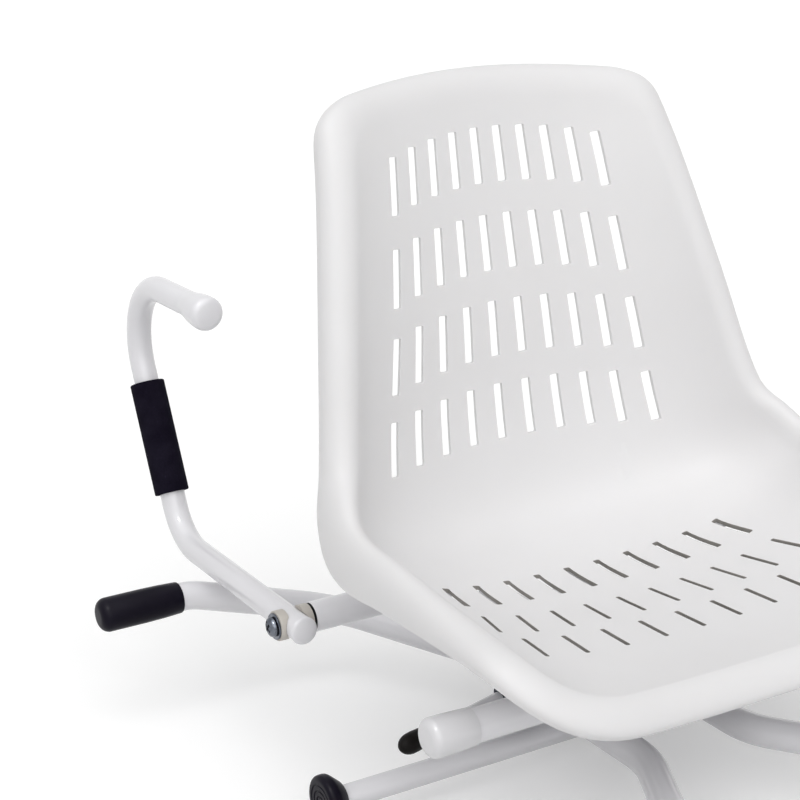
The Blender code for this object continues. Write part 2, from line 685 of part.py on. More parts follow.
def make_shell_surface():
    """Dish of the shell as an open grid, with its rim rolled outwards and down."""
    work = bmesh.new()
    grid = []
    for distance in row_distances():
        half = row_half_width(distance)
        row = []
        for i in range(SHELL_COLUMNS + 1):
            turn = COLUMN_SPREAD * (2 * i / SHELL_COLUMNS - 1)
            x = half * math.sin(turn) / math.sin(COLUMN_SPREAD)
            row.append(work.verts.new(shell_point(x, distance)))
        grid.append((distance, row))
    for (_, upper), (_, lower) in zip(grid, grid[1:]):
        for i in range(SHELL_COLUMNS):
            work.faces.new((upper[i], lower[i], lower[i + 1], upper[i + 1]))
    rim = [(grid[0][1][i], grid[0][0], grid[1][1][i]) for i in range(SHELL_COLUMNS)]
    rim += [(row[-1], distance, row[-2]) for distance, row in grid[:-1]]
    rim += [(grid[-1][1][i], grid[-1][0], grid[-2][1][i]) for i in range(SHELL_COLUMNS, 0, -1)]
    rim += [(row[0], distance, row[1]) for distance, row in grid[:0:-1]]
    count = len(rim)
    rings = [[vert for vert, _, _ in rim]]
    profiles = []
    for i, (vert, distance, inner) in enumerate(rim):
        run = (rim[(i + 1) % count][0].co - rim[i - 1][0].co).normalized()
        up = dish_depth(distance)
        up = (up - run * up.dot(run)).normalized()
        out = run.cross(up).normalized()
        if out.dot(vert.co - inner.co) < 0:
            out.negate()
        slope = vert.co - inner.co
        slope -= run * slope.dot(run)
        rise = math.atan2(slope.dot(up), slope.dot(out))
        profiles.append((vert.co.copy(), out, up, rise, along_stations(distance, 7)))
    for step in range(1, ROLL_STEPS + 2):
        ring = []
        for place, out, up, rise, down in profiles:
            angle = rise - (rise + math.pi / 2) * min(step, ROLL_STEPS) / ROLL_STEPS
            outward = ROLL_OUT * (math.sin(rise) - math.sin(angle)) / (1 + math.sin(rise))
            upward = down * (math.cos(angle) - math.cos(rise))
            if step > ROLL_STEPS:
                upward -= ROLL_SKIRT
            ring.append(work.verts.new(place + out * outward + up * upward))
        rings.append(ring)
    for inner_ring, outer_ring in zip(rings, rings[1:]):
        for i in range(count):
            j = (i + 1) % count
            work.faces.new((inner_ring[j], inner_ring[i], outer_ring[i], outer_ring[j]))
    bmesh.ops.recalc_face_normals(work, faces=work.faces)
    mesh = bpy.data.meshes.new("seat_shell")
    work.to_mesh(mesh)
    work.free()
    obj = add_object("seat_shell", mesh, PART)
    middle = min(mesh.polygons, key=lambda face: (face.center - shell_point(0, SHELL_LENGTH * 0.7)).length)
    if middle.normal.z < 0:
        mesh.flip_normals()
    wall = obj.modifiers.new("wall", "SOLIDIFY")
    wall.thickness = SHELL_T
    wall.offset = -1.0
    wall.use_even_offset = False
    return to_mesh(obj)


def add_slot_boxes(work, row, depth):
    """A box for each drain slot of a row, cut through the wall along one direction."""
    start, end, pitch_start, pitch_end, count, bow = row
    for i in range(count):
        place = i - (count - 1) / 2
        drop = bow * (place / ((count - 1) / 2)) ** 2
        top = shell_point(place * pitch_start, start + drop)
        low = shell_point(place * pitch_end, end + drop)
        length = low - top
        across = length.cross(depth).normalized()
        sides = Matrix((across * SLOT_W, length, depth * SLOT_CUT)).transposed().to_4x4()
        bmesh.ops.create_cube(work, size=1.0, matrix=Matrix.Translation((top + low) / 2) @ sides)


def make_slot_cutters():
    """One mesh of boxes: the back's slots are cut along Y, the pan's along Z."""
    work = bmesh.new()
    for row in BACK_SLOT_ROWS:
        add_slot_boxes(work, row, Vector((0, 1, 0)))
    for row in PAN_SLOT_ROWS:
        add_slot_boxes(work, row, Vector((0, 0, 1)))
    bmesh.ops.recalc_face_normals(work, faces=work.faces)
    mesh = bpy.data.meshes.new("slot_cutters")
    work.to_mesh(mesh)
    work.free()
    return add_object("slot_cutters", mesh, CUTTERS)


def make_seat_shell(parent):
    obj = make_shell_surface()
    surface = bmesh.new()
    surface.from_mesh(obj.data)
    tree = BVHTree.FromBMesh(surface)
    surface.free()
    bosses = bmesh.new()
    bores = bmesh.new()
    for end in (-1, 1):
        for side in (-1, 1):
            x, y = side * SHELL_SCREW_X, end * CROSS_Y
            low = CROSS_Z + TUBE_D / 2 + GAP
            made = bmesh.ops.create_cone(bosses, cap_ends=True, segments=PIN_SIDES, radius1=BOSS_D / 2,
                                         radius2=BOSS_D / 2, depth=1.0)
            for vert in made["verts"]:
                top = vert.co.z > 0
                vert.co.x += x
                vert.co.y += y
                vert.co.z = low
                if top:
                    hit = tree.ray_cast(Vector((vert.co.x, vert.co.y, low)), Vector((0, 0, 1)))[0]
                    vert.co.z = hit.z + BOSS_SINK
            bore = hole_radius(SCREW_D / 2, PIN_SIDES)
            deep = BOSS_GRIP_REAR if end > 0 else BOSS_GRIP_FRONT
            bmesh.ops.create_cone(bores, cap_ends=True, segments=PIN_SIDES, radius1=bore, radius2=bore,
                                  depth=2 * (deep + GAP), matrix=Matrix.Translation((x, y, low)))
    for name, work, how in (("shell_bosses", bosses, "UNION"), ("boss_bores", bores, "DIFFERENCE")):
        bmesh.ops.recalc_face_normals(work, faces=work.faces)
        mesh = bpy.data.meshes.new(name)
        work.to_mesh(mesh)
        work.free()
        boolean(obj, add_object(name, mesh, CUTTERS), how)
    boolean(obj, make_slot_cutters())
    return finish_piece(obj, "white_shell_plastic", parent)


def make_shell_screw(side, end, parent):
    """Pan-head screw up through a cross tube into the shell's boss."""
    name = "shell_screw_" + ("rear" if end > 0 else "front") + ("_left" if side > 0 else "_right")
    head_top = CROSS_Z - TUBE_D / 2 - GAP
    top = CROSS_Z + TUBE_D / 2 + GAP + (BOSS_GRIP_REAR if end > 0 else BOSS_GRIP_FRONT)
    profile = [(0, top), (SCREW_D / 2 - THREAD_CHAMFER, top), (SCREW_D / 2, top - THREAD_CHAMFER),
               (SCREW_D / 2, head_top), (SCREW_HEAD_D / 2, head_top),
               (SCREW_HEAD_D / 2, head_top - SCREW_HEAD_H * 0.5),
               (SCREW_HEAD_D / 2 - 0.0015, head_top - SCREW_HEAD_H), (0, head_top - SCREW_HEAD_H)]
    obj = turned(name, profile, (side * SHELL_SCREW_X, end * CROSS_Y, 0), (0, 0, 1), PIN_SIDES)
    return finish_piece(obj, "zinc_steel", parent)


# Armrest
def make_armrest_tube(parent):
    lean = math.tan(ARM_LEAN)
    corners = [(-ARM_X, ARM_TAIL_Y, CROSS_Z), (-ARM_X, ARM_REACH_Y, CROSS_Z),
               (-ARM_X, ARM_REACH_Y + (ARM_HOOK_Z - CROSS_Z) * lean, ARM_HOOK_Z),
               (-ARM_X, ARM_HOOK_END_Y, ARM_HOOK_Z)]
    obj = tube("armrest_tube", fillet_path(corners, [ARM_ELBOW_R, ARM_HOOK_R]), ARM_TUBE_D / 2)
    screw_hole = hole_radius(SCREW_D / 2, PIN_SIDES)
    boolean(obj, rod("arm_screw_hole", screw_hole, (-ARM_X - ARM_TUBE_D, CROSS_Y, CROSS_Z),
                     (-ARM_X + ARM_TUBE_D, CROSS_Y, CROSS_Z), PIN_SIDES))
    boolean(obj, rod("arm_plug_bore", hole_radius(PLUG_STEM_D / 2, PIN_SIDES),
                     (-ARM_X, ARM_TAIL_Y - 0.01, CROSS_Z),
                     (-ARM_X, ARM_TAIL_Y + PLUG_STEM + GAP, CROSS_Z), PIN_SIDES))
    return finish_piece(obj, "white_coated_tube", parent)


def make_armrest_plug(parent):
    """Domed plug in the tube's front end."""
    head = ARM_TUBE_D / 2
    profile = [(0, PLUG_HEAD)]
    for angle in (30, 55, 78):
        turn = math.radians(angle)
        profile.append((head * math.sin(turn), PLUG_HEAD * math.cos(turn)))
    profile += [(head, 0), (PLUG_STEM_D / 2, 0), (PLUG_STEM_D / 2, -PLUG_STEM), (0, -PLUG_STEM)]
    obj = turned("armrest_plug", profile, (-ARM_X, ARM_TAIL_Y - GAP, CROSS_Z), (0, -1, 0), PIN_SIDES)
    return finish_piece(obj, "white_cap_plastic", parent)


def make_armrest_grip(parent):
    """Foam sleeve on the upright."""
    up = Vector((0, math.sin(ARM_LEAN), math.cos(ARM_LEAN)))
    low_y = ARM_REACH_Y + (GRIP_LOW_Z - CROSS_Z) * math.tan(ARM_LEAN)
    bore = hole_radius(ARM_TUBE_D / 2, ROUND_SIDES)
    outer = GRIP_D / 2
    profile = [(outer - GRIP_ROUND, GRIP_LENGTH), (outer, GRIP_LENGTH - GRIP_ROUND), (outer, GRIP_ROUND),
               (outer - GRIP_ROUND, 0), (bore, 0), (bore, GRIP_LENGTH)]
    obj = turned("armrest_grip", profile, (-ARM_X, low_y, GRIP_LOW_Z), up, ROUND_SIDES, closed=True)
    return finish_piece(obj, "dark_foam", parent)


def make_armrest_end_cap(parent):
    """Slip-over cap on the hook's end, a little bulbous."""
    length = ARM_CAP_SEAM_Y - ARM_CAP_END_Y
    deep = ARM_CAP_SEAM_Y - ARM_HOOK_END_Y + GAP
    bore = hole_radius(ARM_TUBE_D / 2, ROUND_SIDES)
    profile = [(0, length + 0.0008)]
    profile += rounded(ARM_CAP_D / 2, length, ARM_CAP_ROUND)
    profile += [(ARM_CAP_D / 2, length * 0.5), (ARM_CAP_MOUTH_D / 2, 0), (bore, 0), (bore, deep), (0, deep)]
    obj = turned("armrest_end_cap", profile, (-ARM_X, ARM_CAP_SEAM_Y, ARM_HOOK_Z), (0, -1, 0))
    return finish_piece(obj, "white_cap_plastic", parent)


def make_saddle(name, start, end, parent):
    """Spacer along X, hollowed to hug the armrest's tube."""
    obj = rod(name, SADDLE_D / 2, (start, CROSS_Y, CROSS_Z), (end, CROSS_Y, CROSS_Z))
    boolean(obj, rod(name + "_hollow", hole_radius(ARM_TUBE_D / 2, WIDE_SIDES),
                     (-ARM_X, CROSS_Y - SADDLE_D, CROSS_Z), (-ARM_X, CROSS_Y + SADDLE_D, CROSS_Z),
                     WIDE_SIDES))
    boolean(obj, rod(name + "_bore", hole_radius(SCREW_D / 2, PIN_SIDES),
                     (min(start, end) - 0.01, CROSS_Y, CROSS_Z), (max(start, end) + 0.01, CROSS_Y, CROSS_Z),
                     PIN_SIDES))
    return finish_piece(obj, "beige_plastic", parent)


def make_armrest_pivot(seat, arm):
    """Saddles, washer, screw and the insert that the screw bites in."""
    side = ARM_TUBE_D / 2 + GAP
    make_saddle("saddle_inner", -REAR_END_X - GAP, -ARM_X + side - SADDLE_WING, arm)
    outer_face = -ARM_X - side - SADDLE_WEB
    make_saddle("saddle_outer", outer_face, -ARM_X - side + SADDLE_WING, arm)
    washer_x = outer_face - GAP
    bore = hole_radius(SCREW_D / 2, PIN_SIDES)
    section = [(WASHER_D / 2, WASHER_T), (WASHER_D / 2, 0), (bore, 0), (bore, WASHER_T)]
    washer = turned("armrest_washer", section, (washer_x, CROSS_Y, CROSS_Z), (-1, 0, 0), closed=True)
    finish_piece(washer, "zinc_steel", arm)
    head_x = washer_x - WASHER_T - GAP
    shank = -REAR_END_X + INSERT_L - 0.004 - head_x
    dome = []
    for angle in (0, 35, 62, 82):
        turn = math.radians(angle)
        dome.append((ARM_SCREW_HEAD_D / 2 * math.sin(turn), ARM_SCREW_HEAD_H * math.cos(turn)))
    profile = dome + [(ARM_SCREW_HEAD_D / 2, 0), (SCREW_D / 2, 0), (SCREW_D / 2, -shank + THREAD_CHAMFER),
                      (SCREW_D / 2 - THREAD_CHAMFER, -shank), (0, -shank)]
    screw = turned("armrest_screw", profile, (head_x, CROSS_Y, CROSS_Z), (-1, 0, 0), PIN_SIDES)
    finish_piece(screw, "zinc_steel", arm)
    insert = turned("rear_tube_insert",
                    [(INSERT_D / 2, INSERT_L - 0.001), (INSERT_D / 2, 0.001), (bore, 0.001),
                     (bore, INSERT_L - 0.001)],
                    (-REAR_END_X, CROSS_Y, CROSS_Z), (1, 0, 0), ROUND_SIDES, closed=True)
    finish_piece(insert, "beige_plastic", seat)


# Swivel lock
def pawl_pivot():
    """Pivot of the pawl, so that its tooth moves straight out of a notch."""
    foot = Vector((math.cos(PAWL_FOOT_ANGLE), math.sin(PAWL_FOOT_ANGLE))) * PAWL_FOOT_R
    run = Vector((math.sin(PAWL_FOOT_ANGLE), -math.cos(PAWL_FOOT_ANGLE)))
    return tuple(foot + run * PAWL_ARM)


def make_pawl(parent):
    """Flat arm with a round boss at the pivot and a tapered tooth at the index plate."""
    pivot = Vector(pawl_pivot())
    inward = -Vector((math.cos(PAWL_FOOT_ANGLE), math.sin(PAWL_FOOT_ANGLE)))
    run = Vector((math.sin(PAWL_FOOT_ANGLE), -math.cos(PAWL_FOOT_ANGLE)))
    foot = pivot - run * PAWL_ARM
    half = PAWL_ARM_W / 2
    reach = PAWL_FOOT_R - (INDEX_R - NOTCH_DEPTH) - 2 * GAP
    tip = TOOTH_TIP / 2
    root = tip + (reach - half) * math.tan(TOOTH_TAPER)
    outline = [foot + inward * half + run * root, foot + inward * reach + run * tip,
               foot + inward * reach - run * tip, foot + inward * half - run * root,
               foot + inward * half - run * (root + 0.002), foot - inward * half - run * (root + 0.002)]
    start = math.asin(half / PAWL_BOSS_R)
    steps = 12
    for i in range(steps + 1):
        turn = start + (2 * math.pi - 2 * start) * i / steps
        outline.append(pivot - run * PAWL_BOSS_R * math.cos(turn) - inward * PAWL_BOSS_R * math.sin(turn))
    obj = plate("pawl", [tuple(p) for p in outline], PAWL_Z, PAWL_T)
    boolean(obj, rod("pawl_bore", hole_radius(PIVOT_D / 2, PIN_SIDES, RUN_GAP),
                     (*pivot, PAWL_Z - PAWL_T), (*pivot, PAWL_Z + 2 * PAWL_T), PIN_SIDES))
    return finish_piece(obj, "zinc_steel", parent)


def lever_line():
    """Start and end of the lever's rod, from the pawl's boss to inside the grip."""
    pivot = Vector((*pawl_pivot(), PAWL_Z + PAWL_T / 2))
    tip = Vector((-LEVER_TIP_X, -LEVER_TIP_Y, LEVER_TIP_Z))
    flat = Vector((tip.x - pivot.x, tip.y - pivot.y, 0))
    slope = (tip.z - pivot.z) / flat.length
    start = pivot + flat.normalized() * (PAWL_BOSS_R + GAP + slope * LEVER_D / 2)
    return start, tip, (tip - start).normalized()


def make_release_lever(parent):
    """Rod welded to the pawl's boss, out to the side of the seat."""
    start, tip, run = lever_line()
    obj = rod("release_lever", LEVER_D / 2, start, tip - run * (LEVER_GRIP_WALL + GAP), PIN_SIDES)
    return finish_piece(obj, "white_coated_tube", parent)


def make_lever_grip(parent):
    """Dipped black sleeve with a round end."""
    start, tip, run = lever_line()
    bore = hole_radius(LEVER_D / 2, ROUND_SIDES)
    deep = LEVER_GRIP_L - LEVER_GRIP_WALL
    profile = [(0, LEVER_GRIP_L)]
    profile += rounded(LEVER_GRIP_D / 2, LEVER_GRIP_L, LEVER_GRIP_D * 0.42, 4)[1:]
    profile += [(LEVER_GRIP_D / 2, LEVER_GRIP_L / 2), (LEVER_GRIP_D / 2 - LEVER_GRIP_TAPER, 0), (bore, 0),
                (bore, deep), (0, deep)]
    obj = turned("lever_grip", profile, tip - run * LEVER_GRIP_L, run)
    return finish_piece(obj, "black_rubber", parent)


def make_lever_pivot(parent):
    """Bolt, spacer and nut that hang the pawl under the turntable plate."""
    x, y = pawl_pivot()
    nut_low = TURN_Z + PLATE_T + GAP
    low = PAWL_Z - GAP
    height = nut_low + PIVOT_NUT_H + 0.001 - low
    head = PIVOT_HEAD_D / 2
    profile = [(0, height), (PIVOT_D / 2 - THREAD_CHAMFER, height), (PIVOT_D / 2, height - THREAD_CHAMFER),
               (PIVOT_D / 2, 0), (head, 0), (head, -PIVOT_HEAD_H + HEAD_CHAMFER),
               (head - HEAD_CHAMFER, -PIVOT_HEAD_H), (0, -PIVOT_HEAD_H)]
    bolt = turned("lever_pivot_bolt", profile, (x, y, low), (0, 0, 1), PIN_SIDES)
    finish_piece(bolt, "zinc_steel", parent)
    spacer_low = PAWL_Z + PAWL_T + GAP
    bore = hole_radius(PIVOT_D / 2, PIN_SIDES)
    ring_piece("lever_pivot_spacer", PIVOT_COLLAR_D / 2, bore, spacer_low, TURN_Z - GAP - spacer_low,
               PIN_SIDES, "zinc_steel", parent, x, y)
    half = PIVOT_NUT_AF / math.sqrt(3)
    hexagon = [(x + half * math.cos(math.pi / 3 * i), y + half * math.sin(math.pi / 3 * i)) for i in range(6)]
    nut = plate("lever_pivot_nut", hexagon, nut_low, PIVOT_NUT_H)
    boolean(nut, rod("lever_nut_bore", bore, (x, y, nut_low - PLATE_T), (x, y, nut_low + 2 * PIVOT_NUT_H),
                     PIN_SIDES))
    finish_piece(nut, "zinc_steel", parent)


def make_lever_spring(parent):
    """Torsion spring round the pivot's spacer, one unbroken wire with two straight legs."""
    x, y = pawl_pivot()
    floor = PAWL_Z + PAWL_T + GAP + SPRING_WIRE_D / 2
    rise = TURN_Z - 2 * GAP - SPRING_WIRE_D / 2 - floor
    steps = SPRING_STEPS * SPRING_TURNS
    points = []
    for i in range(steps + 1):
        turn = 2 * math.pi * i / SPRING_STEPS
        points.append(Vector((x + SPRING_R * math.cos(turn), y + SPRING_R * math.sin(turn),
                              floor + rise * i / steps)))
    leg = Vector((0, SPRING_LEG, 0))
    wire = [points[0] - leg] + points + [points[-1] + leg]
    least = min((points[i] - points[i + SPRING_STEPS]).length for i in range(steps + 1 - SPRING_STEPS))
    print("least gap of the spring's wire to itself, mm:", round((least - SPRING_WIRE_D) * 1000, 2))
    obj = tube("lever_spring", wire, SPRING_WIRE_D / 2, 1)
    return finish_piece(obj, "zinc_steel", parent)


def build():
    swivel = empty("swivel_axis", (0, 0, 0))
    arm = empty("armrest_axis", (-ARM_X, CROSS_Y, CROSS_Z), swivel)
    x, y = pawl_pivot()
    lock = empty("lever_axis", (x, y, PAWL_Z), swivel)
    for side in (-1, 1):
        make_frame_tube(side)
        make_bath_stop(side)
        for end in (-1, 1):
            make_rim_sleeve(side, end)
    make_centre_bar()
    make_base_plate()
    make_index_plate()
    make_glide_ring()
    make_spindle()
    make_spindle_nuts()
    make_turntable_plate(swivel)
    for side in (-1, 1):
        make_rail(side, swivel)
    for end in (-1, 1):
        make_cross_tube(end, swivel)
    for side, end in ((-1, -1), (1, -1), (1, 1)):
        make_tube_cap(side, end, swivel)
    make_seat_shell(swivel)
    for side, end in ((-1, -1), (1, -1), (-1, 1), (1, 1)):
        make_shell_screw(side, end, swivel)
    make_armrest_tube(arm)
    make_armrest_plug(arm)
    make_armrest_grip(arm)
    make_armrest_end_cap(arm)
    make_armrest_pivot(swivel, arm)
    make_lever_pivot(swivel)
    make_lever_spring(swivel)
    make_pawl(lock)
    make_release_lever(lock)
    make_lever_grip(lock)


build()
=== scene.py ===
import math

import bmesh
import bpy
from mathutils import Matrix, Vector


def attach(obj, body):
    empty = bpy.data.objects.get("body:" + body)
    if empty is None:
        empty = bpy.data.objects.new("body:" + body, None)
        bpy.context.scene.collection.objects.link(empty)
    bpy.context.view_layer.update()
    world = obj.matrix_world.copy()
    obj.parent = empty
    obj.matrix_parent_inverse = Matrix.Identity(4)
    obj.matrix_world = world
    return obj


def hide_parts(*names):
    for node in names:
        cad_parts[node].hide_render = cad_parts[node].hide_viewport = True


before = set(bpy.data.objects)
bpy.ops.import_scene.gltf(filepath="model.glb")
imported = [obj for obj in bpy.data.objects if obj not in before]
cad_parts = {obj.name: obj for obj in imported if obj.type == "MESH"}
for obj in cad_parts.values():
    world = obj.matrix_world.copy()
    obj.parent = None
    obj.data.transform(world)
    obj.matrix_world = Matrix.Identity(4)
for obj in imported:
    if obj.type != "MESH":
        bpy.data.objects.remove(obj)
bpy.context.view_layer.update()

# Swivel bath seat. Metres, the seat faces -Y, the origin is on the swivel axis
# at the height where the rim sleeves rest.


# Camera first, as everything is judged from the photograph's side
cameraView = {
    "place": (-0.842, -1.140, 0.660),
    "heading": -29.6854,     # degrees from +Y
    "dip": 17.2517,          # degrees below the level
    "roll": -1.704,          # degrees
    "lens": 84.48,
    "sensor": 36.0,
    "farClip": 50.0,
}


def addCamera(values):
    heading, dip, roll = [math.radians(values[key]) for key in ("heading", "dip", "roll")]
    forward = Vector((-math.sin(heading) * math.cos(dip), math.cos(heading) * math.cos(dip),
                      -math.sin(dip)))
    right = Vector((math.cos(heading), math.sin(heading), 0))
    up = right.cross(forward)
    rightRolled = right * math.cos(roll) + up * math.sin(roll)
    upRolled = up * math.cos(roll) - right * math.sin(roll)
    bpy.ops.object.camera_add()
    camera = bpy.context.object
    camera.name = "camera"
    camera.data.sensor_width = values["sensor"]
    camera.data.lens = values["lens"]
    camera.data.clip_end = values["farClip"]
    turn = Matrix((rightRolled, upRolled, -forward)).transposed().to_4x4()
    camera.matrix_world = Matrix.Translation(values["place"]) @ turn
    bpy.context.scene.camera = camera


# Finishes. Colours are linear. Patch is the scale of the slow change from one colour to the
# other, grain the scale of the fine relief that the mould, coating or foam leaves.
finishValues = {
    "whiteCoat": {"slot": "tube_white",
                  "colour": (0.725, 0.720, 0.742), "other": (0.698, 0.692, 0.714),
                  "rough": (0.30, 0.40), "shine": 0.40, "coat": 0.60,
                  "patch": 9.0, "grain": 420.0, "depth": 0.05, "height": 0.0004},
    "whiteShell": {"slot": "shell_white",
                   "colour": (0.712, 0.707, 0.712), "other": (0.690, 0.684, 0.688),
                   "rough": (0.46, 0.58), "shine": 0.40, "glow": 0.30,
                   "patch": 5.0, "grain": 1500.0, "depth": 0.14, "height": 0.0002},
    # painted shade: a dark colour on the cut walls of the pan's slots, standing in for the shade
    # inside them
    "paintedSlotShade": {"slot": "shell_white",
                 "colour": (0.300, 0.286, 0.268), "other": (0.240, 0.228, 0.212),
                 "rough": (0.60, 0.75), "shine": 0.20,
                 "patch": 40.0, "grain": 1500.0, "depth": 0.05, "height": 0.0001},
    "whiteCap": {"slot": "cap_white",
                 "colour": (0.680, 0.675, 0.690), "other": (0.650, 0.645, 0.660),
                 "rough": (0.30, 0.40), "shine": 0.40, "coat": 0.55,
                 "patch": 14.0, "grain": 900.0, "depth": 0.06, "height": 0.0002},
    "blackRubber": {"slot": "rubber_black",
                    "colour": (0.0036, 0.0027, 0.0072), "other": (0.0055, 0.0044, 0.0100),
                    "rough": (0.30, 0.44), "shine": 0.09,
                    "patch": 30.0, "grain": 700.0, "depth": 0.12, "height": 0.0003},
    "gripRubber": {"slot": "rubber_black",
                   "colour": (0.0050, 0.0042, 0.0038), "other": (0.0072, 0.0062, 0.0056),
                   "rough": (0.45, 0.60), "shine": 0.08,
                   "patch": 30.0, "grain": 700.0, "depth": 0.15, "height": 0.0003},
    "darkFoam": {"slot": "foam_dark",
                 "colour": (0.0048, 0.0036, 0.0090), "other": (0.0088, 0.0072, 0.0145),
                 "rough": (0.84, 0.96), "shine": 0.05,
                 "patch": 60.0, "grain": 650.0, "depth": 0.35, "height": 0.0005},
    "beigePlastic": {"slot": "plastic_beige",
                     "colour": (0.520, 0.490, 0.450), "other": (0.480, 0.450, 0.410),
                     "rough": (0.36, 0.48), "shine": 0.40,
                     "patch": 40.0, "grain": 900.0, "depth": 0.08, "height": 0.0002},
    "zincSteel": {"slot": "steel_zinc",
                  "colour": (0.205, 0.220, 0.250), "other": (0.095, 0.105, 0.128),
                  "rough": (0.12, 0.30), "shine": 0.50, "metal": 1.0,
                  "patch": 160.0, "grain": 800.0, "depth": 0.06, "height": 0.0002},
    # painted shade: a near-black colour for recesses, namely the cross tube's open end, the
    # saddle's neck and the screw's cross recess
    "paintedRecessShade": {"slot": "steel_zinc",
                   "colour": (0.030, 0.032, 0.040), "other": (0.018, 0.019, 0.024),
                   "rough": (0.35, 0.55), "shine": 0.30, "metal": 0.6,
                   "patch": 160.0, "grain": 800.0, "depth": 0.06, "height": 0.0002},
    "glidePlastic": {"slot": "plastic_glide",
                     "colour": (0.640, 0.640, 0.610), "other": (0.600, 0.600, 0.570),
                     "rough": (0.30, 0.42), "shine": 0.40,
                     "patch": 25.0, "grain": 600.0, "depth": 0.06, "height": 0.0002},
}
finishCommon = {
    "coatRough": 0.07,
    "glowRadius": (1.0, 0.95, 0.9),
    "glowScale": 0.004,
    "patchDetail": 3.0,
    "patchStops": (0.35, 0.68),
    "grainDetail": 4.0,
}


def setInputs(node, inputs):
    for socket, value in inputs.items():
        node.inputs[socket].default_value = value
    return node


def makeFinish(name, values):
    finish = bpy.data.materials.new(name)
    finish.use_nodes = True
    nodes, links = finish.node_tree.nodes, finish.node_tree.links
    shader = setInputs(nodes["Principled BSDF"], {
        "Metallic": values.get("metal", 0.0),
        "Specular IOR Level": values["shine"],
        "Coat Weight": values.get("coat", 0.0),
        "Coat Roughness": finishCommon["coatRough"],
        "Subsurface Weight": values.get("glow", 0.0),
        "Subsurface Radius": finishCommon["glowRadius"],
        "Subsurface Scale": finishCommon["glowScale"],
    })
    place = nodes.new("ShaderNodeTexCoord").outputs["Object"]
    # slow change of colour
    patch = setInputs(nodes.new("ShaderNodeTexNoise"),
                      {"Scale": values["patch"], "Detail": finishCommon["patchDetail"]})
    links.new(place, patch.inputs["Vector"])
    ramp = nodes.new("ShaderNodeValToRGB")
    first, second = finishCommon["patchStops"]
    ramp.color_ramp.elements[0].position = first
    ramp.color_ramp.elements[1].position = second
    ramp.color_ramp.elements[0].color = (*values["other"], 1)
    ramp.color_ramp.elements[1].color = (*values["colour"], 1)
    links.new(patch.outputs["Fac"], ramp.inputs["Fac"])
    links.new(ramp.outputs["Color"], shader.inputs["Base Color"])
    # fine relief, cells in the foam and grain in the rest
    if name == "darkFoam":
        grain = setInputs(nodes.new("ShaderNodeTexVoronoi"), {"Scale": values["grain"]})
        relief = grain.outputs["Distance"]
    else:
        grain = setInputs(nodes.new("ShaderNodeTexNoise"),
                          {"Scale": values["grain"], "Detail": finishCommon["grainDetail"]})
        relief = grain.outputs["Fac"]
    links.new(place, grain.inputs["Vector"])
    smoothest, roughest = values["rough"]
    spread = setInputs(nodes.new("ShaderNodeMapRange"),
                       {"To Min": smoothest, "To Max": roughest})
    links.new(relief, spread.inputs["Value"])
    links.new(spread.outputs["Result"], shader.inputs["Roughness"])
    bump = setInputs(nodes.new("ShaderNodeBump"),
                     {"Strength": values["depth"], "Distance": values["height"]})
    links.new(relief, bump.inputs["Height"])
    links.new(bump.outputs["Normal"], shader.inputs["Normal"])
    return finish


finishes = {name: makeFinish(name, values) for name, values in finishValues.items()}


def deselectAll():
    bpy.ops.object.select_all(action="DESELECT")


def activate(piece):
    deselectAll()
    piece.select_set(True)
    bpy.context.view_layer.objects.active = piece


def selectWhere(piece, kind, wanted):
    # selects the vertices, edges or faces of the piece in edit mode that answer a test
    bpy.ops.mesh.select_mode(type=kind)
    bpy.ops.mesh.select_all(action="DESELECT")
    work = bmesh.from_edit_mesh(piece.data)
    for part in {"VERT": work.verts, "EDGE": work.edges, "FACE": work.faces}[kind]:
        if wanted(part):
            part.select_set(True)
    bmesh.update_edit_mesh(piece.data)


def closeMesh():
    bpy.ops.mesh.select_all(action="SELECT")
    bpy.ops.mesh.remove_doubles(threshold=0.000005)
    bpy.ops.mesh.fill_holes(sides=0)
    bpy.ops.mesh.normals_make_consistent(inside=False)
    bpy.ops.object.mode_set(mode="OBJECT")


def faceOutwards(piece):
    # recalculated normals can end up inwards where a mouth is very thin
    work = bmesh.new()
    work.from_mesh(piece.data)
    if work.calc_volume(signed=True) < 0:
        piece.data.flip_normals()
    work.free()


def applyModifiers(piece):
    activate(piece)
    for modifier in list(piece.modifiers):
        bpy.ops.object.modifier_apply(modifier=modifier.name)


def softenEdges(piece, width, angle, segments):
    soften = piece.modifiers.new("soften", "BEVEL")
    soften.width = width
    soften.segments = segments
    soften.limit_method = "ANGLE"
    soften.angle_limit = math.radians(angle)
    applyModifiers(piece)


def addCut(piece, other, how="DIFFERENCE"):
    cut = piece.modifiers.new(how.lower(), "BOOLEAN")
    cut.object = other
    cut.operation = how
    cut.solver = "EXACT"
    applyModifiers(piece)
    bpy.data.objects.remove(other, do_unlink=True)


def twoFinishes(piece, first, second, isSecond=None):
    # without a test, the second finish waits for the faces that a cut leaves
    for finish in (first, second):
        piece.data.materials.append(finishes[finish])
    if isSecond:
        for face in piece.data.polygons:
            face.material_index = 1 if isSecond(face) else 0


def finishPiece(piece, finish, body, node, smooth=35):
    activate(piece)
    if len(piece.data.materials) < 2:    # a piece of two finishes has them already
        piece.data.materials.clear()
        piece.data.materials.append(finishes[finish])
    bpy.ops.object.shade_smooth_by_angle(angle=math.radians(smooth))
    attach(piece, body)
    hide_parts(node)


def startCircle(name, radius, place, direction, sides):
    deselectAll()
    turn = Vector((0, 0, 1)).rotation_difference(Vector(direction).normalized())
    bpy.ops.mesh.primitive_circle_add(vertices=sides, radius=radius, location=place,
                                      rotation=turn.to_euler())
    piece = bpy.context.object
    piece.name = piece.data.name = name
    bpy.ops.object.transform_apply(location=True, rotation=True, scale=True)
    bpy.ops.object.mode_set(mode="EDIT")
    bpy.ops.mesh.select_all(action="SELECT")
    return piece


